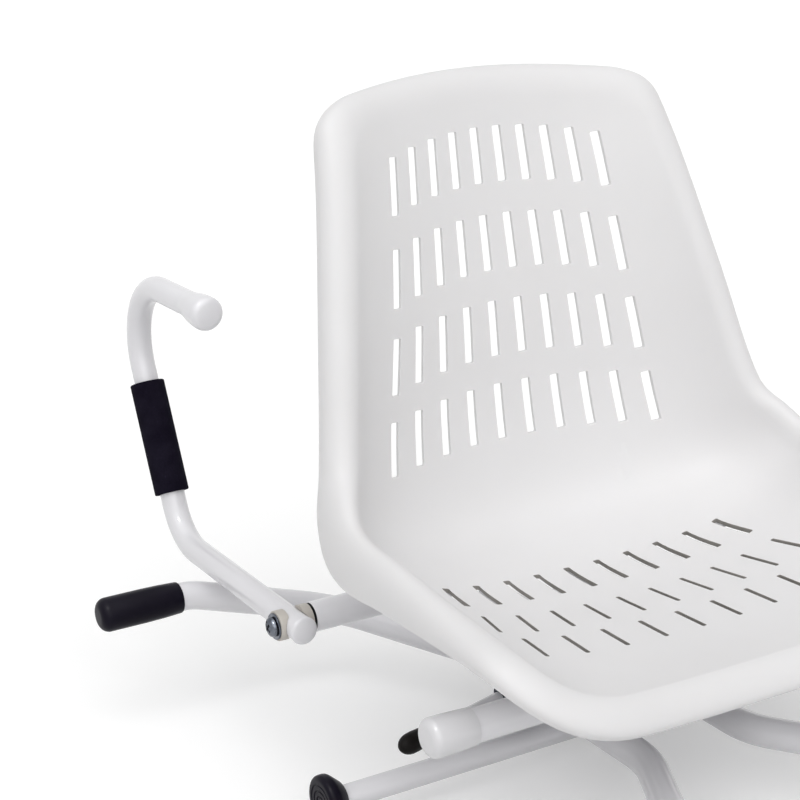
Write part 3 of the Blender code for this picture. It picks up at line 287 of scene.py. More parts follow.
def pushOut(move):
    bpy.ops.mesh.extrude_region_move(TRANSFORM_OT_translate={"value": move})


# Bent and straight tubes: a circle pushed along each run and spun round each bend
tubeValues = {
    "sides": 40,
    "turnStep": 5.0,         # degrees of a bend between two rings
    "endAngle": 60,
    "endSegments": 4,
}


def makeTube(name, corners, bends, diameter, endRound):
    corners = [Vector(corner) for corner in corners]
    spot = corners[0].copy()
    tube = startCircle(name, diameter / 2, spot, corners[1] - spot, tubeValues["sides"])
    for before, corner, after, bend in zip(corners, corners[1:], corners[2:], bends):
        into, out = (corner - before).normalized(), (after - corner).normalized()
        turn = into.angle(out)
        reach = bend * math.tan(turn / 2)
        pushOut(corner - into * reach - spot)
        centre = corner + (out - into).normalized() * bend / math.cos(turn / 2)
        steps = max(3, math.ceil(math.degrees(turn) / tubeValues["turnStep"]))
        bpy.ops.mesh.spin(steps=steps, angle=turn, center=centre,
                          axis=out.cross(into).normalized())
        spot = corner + out * reach
    pushOut(corners[-1] - spot)
    closeMesh()
    softenEdges(tube, endRound, tubeValues["endAngle"], tubeValues["endSegments"])
    return tube


# Turned pieces: a circle pushed along the axis and resized at each station.
# A station is a radius and a distance along the axis.
def makeTurned(name, place, direction, stations, sides=48):
    place, direction = Vector(place), Vector(direction).normalized()
    radius, far = stations[0]
    piece = startCircle(name, radius, place + direction * far, direction, sides)
    for nextRadius, nextFar in stations[1:]:
        pushOut(direction * (nextFar - far))
        share = nextRadius / radius
        bpy.ops.transform.resize(value=(share, share, share),
                                 center_override=place + direction * nextFar)
        radius, far = nextRadius, nextFar
    closeMesh()
    faceOutwards(piece)
    return piece


def softMouth(radius, soft, rise=0.3):
    # stations of a small round on a mouth's outer edge
    return [(radius - soft, 0.0), (radius - soft * 0.3, soft * rise), (radius, soft)]


def widening(narrow, full, length, flare):
    # flare gives shares of the widening and of the length
    return [(narrow + (full - narrow) * wide, length * far) for wide, far in flare]


def roundedEnd(radius, far, corner, steps, dome=0.0):
    # stations of a round outer corner, from the side to the end face
    found = []
    for i in range(steps + 1):
        turn = math.pi / 2 * i / steps
        found.append((radius - corner * (1 - math.cos(turn)), far - corner * (1 - math.sin(turn))))
    if dome:
        inner = radius - corner
        for share in (0.66, 0.33, 0.02):
            found.append((inner * share, far + dome * (1 - share ** 2)))
    return found


def domedEnd(radius, far, height, turns):
    # stations of a dome that covers the whole end, by degrees up from its edge
    found = []
    for turn in turns:
        angle = math.radians(turn)
        found.append((radius * math.cos(angle), far + height * math.sin(angle)))
    return found


# Base frame
baseValues = {
    "tubeDiameter": 0.0250,
    "corners": ((0.3327, -0.276, 0.01455), (0.2520, -0.276, 0.01455),
                (0.1220, -0.256, -0.0220), (0.0487, -0.115, -0.0330)),
    "bends": (0.060, 0.070, 0.080),
    "barDiameter": 0.0190,
    "barHalf": 0.2620,
    "barZ": -0.0553,
    "endRound": 0.001,
}


def makeBaseFrame(values):
    for side, word in ((-1, "right"), (1, "left")):
        half = [(side * x, y, z) for x, y, z in values["corners"]]
        corners = half + [(x, -y, z) for x, y, z in reversed(half)]
        tube = makeTube("frameTube" + word.title(), corners,
                        values["bends"] + values["bends"][::-1],
                        values["tubeDiameter"], values["endRound"])
        finishPiece(tube, "whiteCoat", "base_frame", "frame_tube_" + word)
    reach, level = values["barHalf"], values["barZ"]
    bar = makeTube("centreBar", [(-reach, 0, level), (reach, 0, level)], [],
                   values["barDiameter"], values["endRound"])
    finishPiece(bar, "whiteCoat", "base_frame", "centre_bar")


sleeveValues = {
    "mouthX": 0.2630,
    "endX": 0.3380,
    "y": 0.276,
    "z": 0.01455,
    "bore": 0.0127,
    "boreLead": (0.0004, 0.0006),        # how much the bore opens at its mouth, and how deep
    "mouthRadius": 0.01385,
    "mouthRound": 0.0011,
    "mouthRise": 0.35,
    "flare": ((0.7, 0.22), (1.0, 0.45)),
    "fullRadius": 0.01495,
    "endRound": 0.0085,
    "endSteps": 8,
    "endWall": 0.0050,
}


def makeRimSleeves(values):
    # rubber sleeves pushed over the tubes' ends, flat where they rest
    length, bore = values["endX"] - values["mouthX"], values["bore"]
    mouth, full = values["mouthRadius"], values["fullRadius"]
    leadWide, leadDeep = values["boreLead"]
    stations = [(bore, length - values["endWall"]), (bore, leadDeep), (bore + leadWide, 0.0)]
    stations += softMouth(mouth, values["mouthRound"], values["mouthRise"])
    stations += widening(mouth, full, length, values["flare"])
    stations += roundedEnd(full, length, values["endRound"], values["endSteps"])
    for side, sideWord in ((-1, "right"), (1, "left")):
        for end, endWord in ((-1, "front"), (1, "rear")):
            sleeve = makeTurned("rimSleeve" + endWord.title() + sideWord.title(),
                                (side * values["mouthX"], end * values["y"], values["z"]),
                                (side, 0, 0), stations)
            bpy.ops.object.mode_set(mode="EDIT")
            selectWhere(sleeve, "VERT", lambda vert: vert.co.z < 0)
            bpy.ops.transform.resize(value=(1, 1, 0), center_override=(0, 0, 0))
            bpy.ops.object.mode_set(mode="OBJECT")
            finishPiece(sleeve, "blackRubber", "base_frame",
                        "rim_sleeve_" + endWord + "_" + sideWord)


stopValues = {
    "faceX": 0.2720,
    "z": -0.0553,
    "depth": 0.0180,
    "bore": 0.0097,
    "boreEnd": 0.0097,                   # rubber left in front of the bar's end
    "neck": 0.01425,
    "neckEdge": (0.0010, 0.0008),
    "radius": 0.0220,
    "shoulder": ((0.0012, -0.0010), (0.0002, 0.0006), (0.0, 0.0016)),
    "round": 0.0040,
    "roundSteps": 6,
    "grooves": (0.0150, 0.0105, 0.0060),
    "grooveHalf": 0.0010,
    "grooveDeep": 0.0007,
}


def makeBathStops(values):
    # rubber stops on the bar's ends, with ring grooves in the bearing face
    depth, radius, bore = values["depth"], values["radius"], values["bore"]
    neckIn, neckUp = values["neckEdge"]
    stations = [(bore, depth - values["boreEnd"]), (bore, 0.0),
                (values["neck"] - neckIn, 0.0), (values["neck"], neckUp)]
    stations += [(radius - inward, depth * 0.5 + far) for inward, far in values["shoulder"]]
    stations += roundedEnd(radius, depth, values["round"], values["roundSteps"])
    half, floor = values["grooveHalf"], depth - values["grooveDeep"]
    for ring in values["grooves"]:
        stations += [(ring + half, depth), (ring + half / 2, floor),
                     (ring - half / 2, floor), (ring - half, depth)]
    for side, word in ((-1, "right"), (1, "left")):
        stop = makeTurned("bathStop" + word.title(),
                          (side * (values["faceX"] - depth), 0, values["z"]),
                          (side, 0, 0), stations)
        finishPiece(stop, "blackRubber", "base_frame", "bath_stop_" + word)


# Cross tubes under the seat, with their caps
crossValues = {
    "diameter": 0.0250,
    "y": 0.1165,
    "z": 0.0425,
    "cappedEndX": 0.2412,
    "openEndX": 0.2150,
    "endRound": 0.0007,
}
capValues = {
    "seamX": 0.2080,
    "endX": 0.2460,
    "bore": 0.0127,
    "endWall": 0.0045,
    "seamRadius": 0.01385,
    "lip": 0.0007,
    "flare": ((0.45, 0.25), (0.85, 0.55)),
    "radius": 0.0150,
    "round": 0.0062,
    "roundSteps": 8,
    "dome": 0.0007,
}


def makeCrossTubes(values):
    for end, word in ((-1, "front"), (1, "rear")):
        right = -values["openEndX"] if end > 0 else -values["cappedEndX"]
        ends = [(x, end * values["y"], values["z"]) for x in (right, values["cappedEndX"])]
        tube = makeTube("crossTube" + word.title(), ends, [], values["diameter"],
                        values["endRound"])
        # the rear tube's end face gets painted shade, a dark colour standing in for the shade
        # inside the open tube
        if end > 0:    # the open end looks dark beside the armrest's saddle
            twoFinishes(tube, "whiteCoat", "paintedRecessShade", lambda face: face.normal.x < -0.9)
        finishPiece(tube, "whiteCoat", "seat", "cross_tube_" + word)


def makeTubeCaps(values, tube):
    length, bore = values["endX"] - values["seamX"], values["bore"]
    narrow, full = values["seamRadius"], values["radius"]
    stations = [(bore, length - values["endWall"]), (bore, 0.0)]
    stations += softMouth(narrow, values["lip"])
    stations += widening(narrow, full, length, values["flare"])
    stations += roundedEnd(full, length, values["round"], values["roundSteps"], values["dome"])
    for side, end, word in ((-1, -1, "front_right"), (1, -1, "front_left"), (1, 1, "rear_left")):
        cap = makeTurned("tubeCap" + word.title().replace("_", ""),
                         (side * values["seamX"], end * tube["y"], tube["z"]),
                         (side, 0, 0), stations)
        finishPiece(cap, "whiteCap", "seat", "tube_cap_" + word)


# Seat shell, given by stations down its centre line. A station is a distance, the centre
# line's place, the dish edge's place, half the width, how much of the dish's rise is spread
# across it, and the depth of the rolled edge.
stationColumns = ("distance", "centreY", "centreZ", "edgeY", "edgeZ", "halfWidth", "spreadRise",
                  "rollDepth")
shellValues = {
    "stations": (
        (0.000, 0.1845, 0.4310, 0.1555, 0.4330, 0.1650, 1.50, 0.0170),
        (0.070, 0.1720, 0.3650, 0.1320, 0.3730, 0.1776, 1.60, 0.0170),
        (0.168, 0.1535, 0.2685, 0.1022, 0.2760, 0.1969, 1.25, 0.0175),
        (0.286, 0.1357, 0.1515, 0.0721, 0.1759, 0.2169, 0.95, 0.0212),
        (0.354, 0.1110, 0.0905, 0.0474, 0.1466, 0.2316, 0.80, 0.0321),
        (0.421, 0.0500, 0.0668, 0.0175, 0.1328, 0.2374, 0.62, 0.0379),
        (0.482, -0.0110, 0.0646, -0.0323, 0.1285, 0.2347, 0.62, 0.0305),
        (0.552, -0.0810, 0.0687, -0.0990, 0.1221, 0.2313, 0.46, 0.0197),
        (0.622, -0.1510, 0.0718, -0.1727, 0.1131, 0.2263, 0.30, 0.0105),
        (0.667, -0.1957, 0.0760, -0.2272, 0.1064, 0.2201, 0.30, 0.0085),
    ),
    "wall": 0.0035,
    "topCorner": 0.018,
    "topBow": 0.0135,
    "bowFade": 0.036,
    "frontCorner": 0.061,
    "rollOut": 0.0285,
    "rollSkirt": 0.003,
    "rollSteps": 12,
    "dishPower": 7,
    "panMiddle": 0.47,       # distance of a place where the sitting surface faces up
    "rows": 104,
    "cornerRows": 12,
    "columns": 64,
    "spread": 67.5,          # degrees: the more, the closer the columns lie to the sides
    "lipRound": 0.0013,
    "lipAngle": 50,
    "lipSegments": 3,
    "smooth": 50,
    # how far inwards the rolled edge takes its slope from: a share of the width, and
    # distances at the ends
    "sideInset": 0.0716,
    "topInset": 0.0023,
    "frontInset": 0.0046,
}
shellLength = shellValues["stations"][-1][0]

slotValues = {
    # start and end along the centre line, pitch at each, count, bow, width, cut through the
    # back or the pan
    "rows": (
        (0.0210, 0.0700, 0.0221, 0.0232, 10, 0.0160, 0.0084, "back"),
        (0.0960, 0.1430, 0.0239, 0.0252, 10, 0.0160, 0.0084, "back"),
        (0.1680, 0.2150, 0.0259, 0.0274, 10, 0.0150, 0.0084, "back"),
        (0.2380, 0.2860, 0.0282, 0.0296, 10, 0.0140, 0.0084, "back"),
        (0.4306, 0.4722, 0.0300, 0.0312, 10, 0.0008, 0.0056, "pan"),
        (0.5020, 0.5395, 0.0316, 0.0334, 10, -0.0043, 0.0031, "pan"),
        (0.5561, 0.5915, 0.0348, 0.0354, 9, -0.0070, 0.0034, "pan"),
    ),
    "panShift": -0.0015,     # the pan's slots stand a little to the right of the middle
    "corner": 0.0012,
    "cornerTurns": (0, 30, 60, 90),
    "sideShares": (0.5, 0.0, -0.5),
    "fillet": 0.0004,
    # rings of the cutter from outside the wall to its middle: how much wider than the slot,
    # and how far above the wall's face, both in fillets
    "flare": ((1.7, 3.0), (1.7, 0.19), (0.5, -0.134), (0.134, -0.5), (0.0, -1.0)),
    "reach": 0.06,
}

bossValues = {
    "places": ((-0.100, -0.1165), (0.100, -0.1165), (-0.100, 0.1165), (0.100, 0.1165)),
    "radius": 0.0110,
    "sides": 32,
    "z": 0.0553,
    "sink": 0.0018,          # how far a post runs up into the wall
}


def alongStations(distance, name):
    # smooth value of one column at a distance down the centre line
    rows, column = shellValues["stations"], stationColumns.index(name)
    last = len(rows) - 1
    spot = 0
    while spot < last - 1 and distance > rows[spot + 1][0]:
        spot += 1
    slopes = []
    for i in (spot, spot + 1):
        low, high = rows[max(i - 1, 0)], rows[min(i + 1, last)]
        slopes.append((high[column] - low[column]) / (high[0] - low[0]))
    start, end = rows[spot], rows[spot + 1]
    span = end[0] - start[0]
    t = (distance - start[0]) / span
    return ((2 * t ** 3 - 3 * t ** 2 + 1) * start[column]
            + (t ** 3 - 2 * t ** 2 + t) * span * slopes[0]
            + (3 * t ** 2 - 2 * t ** 3) * end[column]
            + (t ** 3 - t ** 2) * span * slopes[1])


def centrePoint(distance):
    return Vector((0, alongStations(distance, "centreY"), alongStations(distance, "centreZ")))


def dishDepth(distance):
    edge = Vector((0, alongStations(distance, "edgeY"), alongStations(distance, "edgeZ")))
    return edge - centrePoint(distance)


def dishEdge(distance):
    return alongStations(distance, "halfWidth") - shellValues["rollOut"]


def shellPoint(x, distance):
    # point on the sitting surface
    if distance < shellValues["bowFade"]:
        fade = (1 - distance / shellValues["bowFade"]) ** 2
        distance += shellValues["topBow"] * fade * (x / dishEdge(distance)) ** 2
    edge, depth = dishEdge(distance), dishDepth(distance)
    spreadRise = alongStations(distance, "spreadRise") * edge ** 2 / depth.length
    share = abs(x) / edge
    rise = spreadRise * share ** 2 + (1 - spreadRise) * share ** shellValues["dishPower"]
    return centrePoint(distance) + depth * rise + Vector((x, 0, 0))


def rowDistances():
    # closer together round the corners
    count = shellValues["cornerRows"]
    top, front = shellValues["topCorner"], shellValues["frontCorner"]
    closing = [1 - math.cos(math.pi / 2 * i / count) for i in range(count)]
    first = [top * share for share in closing]
    final = [shellLength - front * share for share in closing]
    steps = shellValues["rows"] - 2 * count
    middle = [top + (shellLength - front - top) * i / steps for i in range(steps + 1)]
    return first + middle + final[::-1]


def rowHalfWidth(distance):
    width = dishEdge(distance)
    for corner, inside in ((shellValues["topCorner"], distance),
                           (shellValues["frontCorner"], shellLength - distance)):
        if inside < corner:
            width -= corner - math.sqrt(corner ** 2 - (corner - inside) ** 2)
    return width


def pointInside(x, distance):
    # a little inwards from the dish's edge: sideways along the sides, down or up at the ends,
    # and turning from one to the other round the corners
    inset, corner = shellValues["topInset"], shellValues["topCorner"]
    inside, towards = distance, 1
    if distance > shellLength / 2:
        inset, corner = shellValues["frontInset"], shellValues["frontCorner"]
        inside, towards = shellLength - distance, -1
    endShare = max(0.0, 1 - inside / corner)
    sideShare = math.sqrt(1 - endShare ** 2)
    sideways = math.copysign(sideShare * shellValues["sideInset"] * rowHalfWidth(distance), x)
    return shellPoint(x - sideways, distance + towards * endShare * inset)


def orderedRim(work):
    # the open edge of the dish, vertex after vertex
    first = next(vert for vert in work.verts if vert.is_boundary)
    ring, before = [first], None
    while True:
        steps = [edge.other_vert(ring[-1]) for edge in ring[-1].link_edges if edge.is_boundary]
        step = steps[0] if steps[0] is not before else steps[1]
        if step is first:
            return ring
        before = ring[-1]
        ring.append(step)


def layIntoDish(work):
    # moves a flat grid's vertices onto the sitting surface and keeps each one's distance
    rows, distances = shellValues["rows"], rowDistances()
    spread = math.radians(shellValues["spread"])
    distanceOf = {}
    for vert in work.verts:
        across, distance = vert.co.x, distances[round((1 - vert.co.y) / 2 * rows)]
        x = rowHalfWidth(distance) * math.sin(spread * across) / math.sin(spread)
        distanceOf[vert.index] = distance
        vert.co = shellPoint(x, distance)
    return distanceOf


def rollProfiles(rim, distanceOf):
    # for each place on the rim: which way is out, which is up, the dish's slope there, and
    # the roll's depth
    profiles = []
    for i, vert in enumerate(rim):
        distance = distanceOf[vert.index]
        run = (rim[(i + 1) % len(rim)].co - rim[i - 1].co).normalized()
        up = dishDepth(distance)
        up = (up - run * up.dot(run)).normalized()
        out = run.cross(up).normalized()
        slope = vert.co - pointInside(vert.co.x, distance)
        slope -= run * slope.dot(run)
        if out.dot(slope) < 0:
            out.negate()
        rise = math.atan2(slope.dot(up), slope.dot(out))
        profiles.append((vert.co.copy(), out, up, rise, alongStations(distance, "rollDepth")))
    return profiles


def rollEdge(work, rim, profiles):
    # pushes the rim out and down ring by ring, with a short skirt at the end
    steps, reach, ring = shellValues["rollSteps"], shellValues["rollOut"], rim
    for step in range(1, steps + 2):
        nextRing = []
        for place, out, up, rise, down in profiles:
            angle = rise - (rise + math.pi / 2) * min(step, steps) / steps
            outward = reach * (math.sin(rise) - math.sin(angle)) / (1 + math.sin(rise))
            upward = down * (math.cos(angle) - math.cos(rise))
            if step > steps:
                upward -= shellValues["rollSkirt"]
            nextRing.append(work.verts.new(place + out * outward + up * upward))
        for i in range(len(rim)):
            j = (i + 1) % len(rim)
            work.faces.new((ring[j], ring[i], nextRing[i], nextRing[j]))
        ring = nextRing


def makeShellSheet():
    deselectAll()
    bpy.ops.mesh.primitive_grid_add(x_subdivisions=shellValues["columns"],
                                    y_subdivisions=shellValues["rows"], size=2)
    shell = bpy.context.object
    shell.name = shell.data.name = "seatShellMoulded"
    bpy.ops.object.mode_set(mode="EDIT")
    work = bmesh.from_edit_mesh(shell.data)
    distanceOf = layIntoDish(work)
    rim = orderedRim(work)
    rollEdge(work, rim, rollProfiles(rim, distanceOf))
    bmesh.ops.recalc_face_normals(work, faces=work.faces)
    pan = centrePoint(shellValues["panMiddle"])
    middle = min(work.faces, key=lambda face: (face.calc_center_median() - pan).length)
    if middle.normal.z < 0:
        bmesh.ops.reverse_faces(work, faces=work.faces)
    bmesh.update_edit_mesh(shell.data)
    bpy.ops.object.mode_set(mode="OBJECT")
    return shell


def slotRing(top, low, cutAlong, width, widen):
    # outline of a slot with rounded corners, as points in the plane across the cut
    length = low - top
    length -= cutAlong * length.dot(cutAlong)
    along = length.normalized()
    across = along.cross(cutAlong).normalized()
    corner, middle = slotValues["corner"], (top + low) / 2
    halfWide, halfLong = width / 2 - corner, length.length / 2 - corner
    radius = corner + widen
    points = []
    for side, end, first in ((1, 1, 0), (-1, 1, 90), (-1, -1, 180), (1, -1, 270)):
        for step in slotValues["cornerTurns"]:
            turn = math.radians(first + step)
            points.append((side * halfWide + radius * math.cos(turn),
                           end * halfLong + radius * math.sin(turn)))
        if first in (90, 270):    # points down the long sides, so that the cut follows the shell
            points += [(side * (halfWide + radius), end * halfLong * share)
                       for share in slotValues["sideShares"]]
    return [middle + across * wide + along * far for wide, far in points]


def addSlotForm(work, shell, top, low, cutAlong, width, finish):
    # closed form of one slot, which flares where it meets either face of the wall
    fillet, reach = slotValues["fillet"], slotValues["reach"]
    rings = []
    for side, steps in ((1, slotValues["flare"]), (-1, slotValues["flare"][::-1])):
        for widen, height in steps:
            ring = []
            for point in slotRing(top, low, cutAlong, width, widen * fillet):
                hit = shell.ray_cast(point + cutAlong * side * reach, -cutAlong * side,
                                     distance=2 * reach)
                base = hit[1] if hit[0] else point
                ring.append(work.verts.new(base + cutAlong * side * height * fillet))
            rings.append(ring)
    for upper, lower in zip(rings, rings[1:]):
        for k in range(len(upper)):
            j = (k + 1) % len(upper)
            face = work.faces.new((upper[k], upper[j], lower[j], lower[k]))
            face.material_index = finish
    work.faces.new(rings[0][::-1])
    work.faces.new(rings[-1])


def makeSlotCutter(shell):
    work = bmesh.new()
    for start, end, pitchStart, pitchEnd, count, bow, width, where in slotValues["rows"]:
        cutAlong, shift, finish = Vector((0, -1, 0)), 0.0, 0
        # the pan's slots give their cut faces the second finish, which is painted shade
        if where == "pan":    # the cut faces are darker there
            cutAlong, shift, finish = Vector((0, 0, 1)), slotValues["panShift"], 1
        for i in range(count):
            place = i - (count - 1) / 2
            drop = bow * (place / ((count - 1) / 2)) ** 2
            top = shellPoint(place * pitchStart + shift, start + drop)
            low = shellPoint(place * pitchEnd + shift, end + drop)
            addSlotForm(work, shell, top, low, cutAlong, width, finish)
    bmesh.ops.recalc_face_normals(work, faces=work.faces)
    mesh = bpy.data.meshes.new("slotCutter")
    work.to_mesh(mesh)
    work.free()
    cutter = bpy.data.objects.new("slotCutter", mesh)
    bpy.context.scene.collection.objects.link(cutter)
    return cutter


def makeShellBosses(shell, values):
    # posts under the shell that take the screws
    bosses, foot = None, values["z"]
    for x, y in values["places"]:
        deselectAll()
        bpy.ops.mesh.primitive_cylinder_add(vertices=values["sides"], radius=values["radius"],
                                            depth=1, location=(x, y, foot + 0.5))
        boss = bpy.context.object
        bpy.ops.object.transform_apply(location=True, rotation=True, scale=True)
        for vert in boss.data.vertices:
            if vert.co.z > foot + 0.5:
                hit = shell.ray_cast(Vector((vert.co.x, vert.co.y, foot)), Vector((0, 0, 1)))
                vert.co.z = hit[1].z + values["sink"]
        if bosses:
            bosses.select_set(True)
            bpy.context.view_layer.objects.active = bosses
            bpy.ops.object.join()
        else:
            bosses = boss
    return bosses


def makeSeatShell(values):
    shell = makeShellSheet()
    wall = shell.modifiers.new("wall", "SOLIDIFY")
    wall.thickness = values["wall"]
    wall.offset = -1.0
    applyModifiers(shell)
    softenEdges(shell, values["lipRound"], values["lipAngle"], values["lipSegments"])
    cutter = makeSlotCutter(shell)
    addCut(shell, makeShellBosses(shell, bossValues), "UNION")
    # the second finish is painted shade for the walls of the pan's slots
    twoFinishes(shell, "whiteShell", "paintedSlotShade")
    twoFinishes(cutter, "whiteShell", "paintedSlotShade")
    addCut(shell, cutter)
    finishPiece(shell, "whiteShell", "seat", "seat_shell", smooth=values["smooth"])
    weigh = shell.modifiers.new("weigh", "WEIGHTED_NORMAL")
    weigh.keep_sharp = True
    applyModifiers(shell)


# Armrest
armValues = {
    "diameter": 0.0222,
    "x": -0.2320,
    "tailY": 0.0972,
    "reachY": 0.3325,
    "level": 0.0425,
    "lean": 24.1,            # degrees from upright
    "hookZ": 0.2723,
    "elbow": 0.0500,
    "hook": 0.0586,
    "hookEndY": 0.2520,
    "endRound": 0.0007,
}


def makeArmrestTube(values):
    lean = math.tan(math.radians(values["lean"]))
    x, level, hookZ = values["x"], values["level"], values["hookZ"]
    corners = [(x, values["tailY"], level), (x, values["reachY"], level),
               (x, values["reachY"] + (hookZ - level) * lean, hookZ),
               (x, values["hookEndY"], hookZ)]
    tube = makeTube("armrestTube", corners, (values["elbow"], values["hook"]),
                    values["diameter"], values["endRound"])
    finishPiece(tube, "whiteCoat", "armrest", "armrest_tube")


gripValues = {
    "lowZ": 0.0830,
    "length": 0.1024,
    "radius": 0.0155,
    "round": 0.0010,
    "bore": 0.0113,
    "rings": (0.1, 0.3, 0.5, 0.7, 0.9),
    "sides": 64,
    "fill": 0.9,
}


def makeArmrestGrip(values, arm):
    # foam sleeve with crisp ends
    lean = math.radians(arm["lean"])
    up = Vector((0, math.sin(lean), math.cos(lean)))
    low = (arm["x"], arm["reachY"] + (values["lowZ"] - arm["level"]) * math.tan(lean),
           values["lowZ"])
    length, radius, bore = values["length"], values["radius"], values["bore"]
    mouth = softMouth(radius, values["round"])
    stations = [(bore, 0.0)] + mouth + [(radius, length * share) for share in values["rings"]]
    stations += [(wide, length - far) for wide, far in reversed(mouth)] + [(bore, length)]
    grip = makeTurned("armrestGripFoam", low, up, stations, values["sides"])
    finishPiece(grip, "darkFoam", "armrest", "armrest_grip")


endCapValues = {
    "seamY": 0.2850,
    "endY": 0.2446,
    "bore": 0.0113,
    "endWall": 0.0060,
    "mouthRadius": 0.01125,
    "flare": ((0.10, 0.12), (0.40, 0.28), (0.80, 0.48), (1.0, 0.68)),
    "radius": 0.0146,
    "round": 0.0062,
    "roundSteps": 8,
    "dome": 0.0007,
    "droop": -0.040,
}


def makeArmrestEndCap(values, arm):
    length, bore = values["seamY"] - values["endY"], values["bore"]
    mouth, full = values["mouthRadius"], values["radius"]
    stations = [(bore, length - values["endWall"]), (bore, 0.0), (mouth, 0.0)]
    stations += widening(mouth, full, length, values["flare"])
    stations += roundedEnd(full, length, values["round"], values["roundSteps"], values["dome"])
    cap = makeTurned("armrestEndCap", (arm["x"], values["seamY"], arm["hookZ"]),
                     (0, -1, values["droop"]), stations)
    finishPiece(cap, "whiteCoat", "armrest", "armrest_end_cap")


plugValues = {
    "proud": 0.0005,
    "head": 0.0042,
    "lip": 0.0012,
    "edge": 0.0003,
    "stemRadius": 0.0083,
    "stem": 0.0090,
    "domeTurns": (15, 30, 45, 60, 75, 88),
}


def makeArmrestPlug(values, arm):
    # domed plug in the tube's front end
    radius, edge, lip = arm["diameter"] / 2 + values["proud"], values["edge"], values["lip"]
    stations = [(values["stemRadius"], -values["stem"]), (values["stemRadius"], 0.0),
                (radius - edge, 0.0), (radius, edge), (radius, lip)]
    stations += domedEnd(radius, lip, values["head"] - lip, values["domeTurns"])
    plug = makeTurned("armrestPlug", (arm["x"], arm["tailY"] - edge, arm["level"]), (0, -1, 0),
                      stations)
    finishPiece(plug, "whiteCoat", "armrest", "armrest_plug")


saddleValues = {
    "radius": 0.0125,
    "innerX": (-0.2153, -0.2251),
    "outerX": (-0.2469, -0.2389),
    "edge": 0.0008,
    "hollow": 0.0114,
    "hollowHalf": 0.03,
    "hollowSides": 64,
    "neck": 0.0078,          # the inner saddle is stepped down where it meets the tube's open end
    "neckLength": 0.0017,
    "neckSlack": (0.0001, 0.0004),
}


def makeSaddle(word, values, arm):
    # round spacer, hollowed to hug the armrest's tube
    y, z = crossValues["y"], crossValues["z"]
    start, end = values[word + "X"]
    direction = Vector((1 if end > start else -1, 0, 0))
    length, radius = abs(end - start), values["radius"]
    neck, step = values["neck"], values["neckLength"]
    stations = softMouth(radius, values["edge"])
    if word == "inner":
        stations = [(neck, 0.0), (neck, step)] + [(wide, far + step) for wide, far in stations]
    stations.append((radius, length))
    saddle = makeTurned("saddle" + word.title(), (start, y, z), direction, stations)
    reach = values["hollowHalf"]
    hollow = makeTurned("hollow", (arm["x"], y - reach, z), (0, 1, 0),
                        [(values["hollow"], 0.0), (values["hollow"], 2 * reach)],
                        values["hollowSides"])
    addCut(saddle, hollow)
    if word == "inner":
        # the neck's faces get painted shade, a dark colour for the shade in the groove
        slackX, slackOut = values["neckSlack"]
        twoFinishes(saddle, "beigePlastic", "paintedRecessShade", lambda face: (
            abs(face.center.x - start) < step + slackX
            and math.hypot(face.center.y - y, face.center.z - z) < neck + slackOut))
    finishPiece(saddle, "beigePlastic", "armrest", "saddle_" + word)


screwValues = {
    "washerX": -0.2472,
    "washerRadius": 0.0110,
    "washerThickness": 0.0014,
    "washerEdge": 0.0003,
    "bore": 0.0032,
    "headGap": 0.0003,
    "headRadius": 0.0082,
    "headHeight": 0.0054,
    "headEdge": (0.0004, 0.0005),
    "headSide": (0.995, 0.3),            # shares of its radius and height where the dome begins
    "domeTurns": (25, 40, 55, 70, 82),
    "shankRadius": 0.0030,
    "shank": 0.0530,
    "shankTip": 0.0006,
    "slotWide": 0.0033,
    "slotLong": 0.0128,
    "slotDeep": 0.0034,
    "slotTaper": 0.45,
    "turned": 35.0,                      # degrees
    "edgeRound": 0.00015,
    "edgeAngle": 50,
    "edgeSegments": 2,
}


def makeArmrestScrew(values):
    y, z = crossValues["y"], crossValues["z"]
    outward = (-1, 0, 0)
    thick, wide, edge = values["washerThickness"], values["washerRadius"], values["washerEdge"]
    washer = makeTurned("armrestWasher", (values["washerX"], y, z), outward,
                        [(values["bore"], 0.0), (wide, 0.0), (wide, thick - edge),
                         (wide - edge, thick), (values["bore"], thick)])
    closeRing(washer)
    finishPiece(washer, "zincSteel", "armrest", "armrest_washer")
    headX = values["washerX"] - thick - values["headGap"]
    radius, height = values["headRadius"], values["headHeight"]
    shank, length, tip = values["shankRadius"], values["shank"], values["shankTip"]
    edgeIn, edgeUp = values["headEdge"]
    sideRadius, sideHeight = values["headSide"]
    stations = [(shank - tip, -length), (shank, tip - length), (shank, 0.0),
                (radius - edgeIn, 0.0), (radius, edgeUp),
                (radius * sideRadius, height * sideHeight)]
    stations += domedEnd(radius, height * sideHeight, height * (1 - sideHeight),
                         values["domeTurns"])
    screw = makeTurned("armrestScrew", (headX, y, z), outward, stations)
    twoFinishes(screw, "zincSteel", "paintedRecessShade")
    # cross recess, tapered towards its bottom, with painted shade on its faces
    top, taper = headX - height, values["slotTaper"]
    for quarter in (0, 90):
        deselectAll()
        bpy.ops.mesh.primitive_cube_add(size=1, location=(top, y, z))
        arm = bpy.context.object
        arm.scale = (values["slotDeep"] * 2, values["slotWide"], values["slotLong"])
        arm.rotation_euler = (math.radians(values["turned"] + quarter), 0, 0)
        bpy.ops.object.transform_apply(location=True, rotation=True, scale=True)
        bpy.ops.object.mode_set(mode="EDIT")
        selectWhere(arm, "VERT", lambda vert: vert.co.x > top)
        bpy.ops.transform.resize(value=(1, taper, taper),
                                 center_override=(top + values["slotDeep"], y, z))
        bpy.ops.object.mode_set(mode="OBJECT")
        twoFinishes(arm, "zincSteel", "paintedRecessShade", lambda face: True)
        addCut(screw, arm)
    softenEdges(screw, values["edgeRound"], values["edgeAngle"], values["edgeSegments"])
    finishPiece(screw, "zincSteel", "armrest", "armrest_screw")


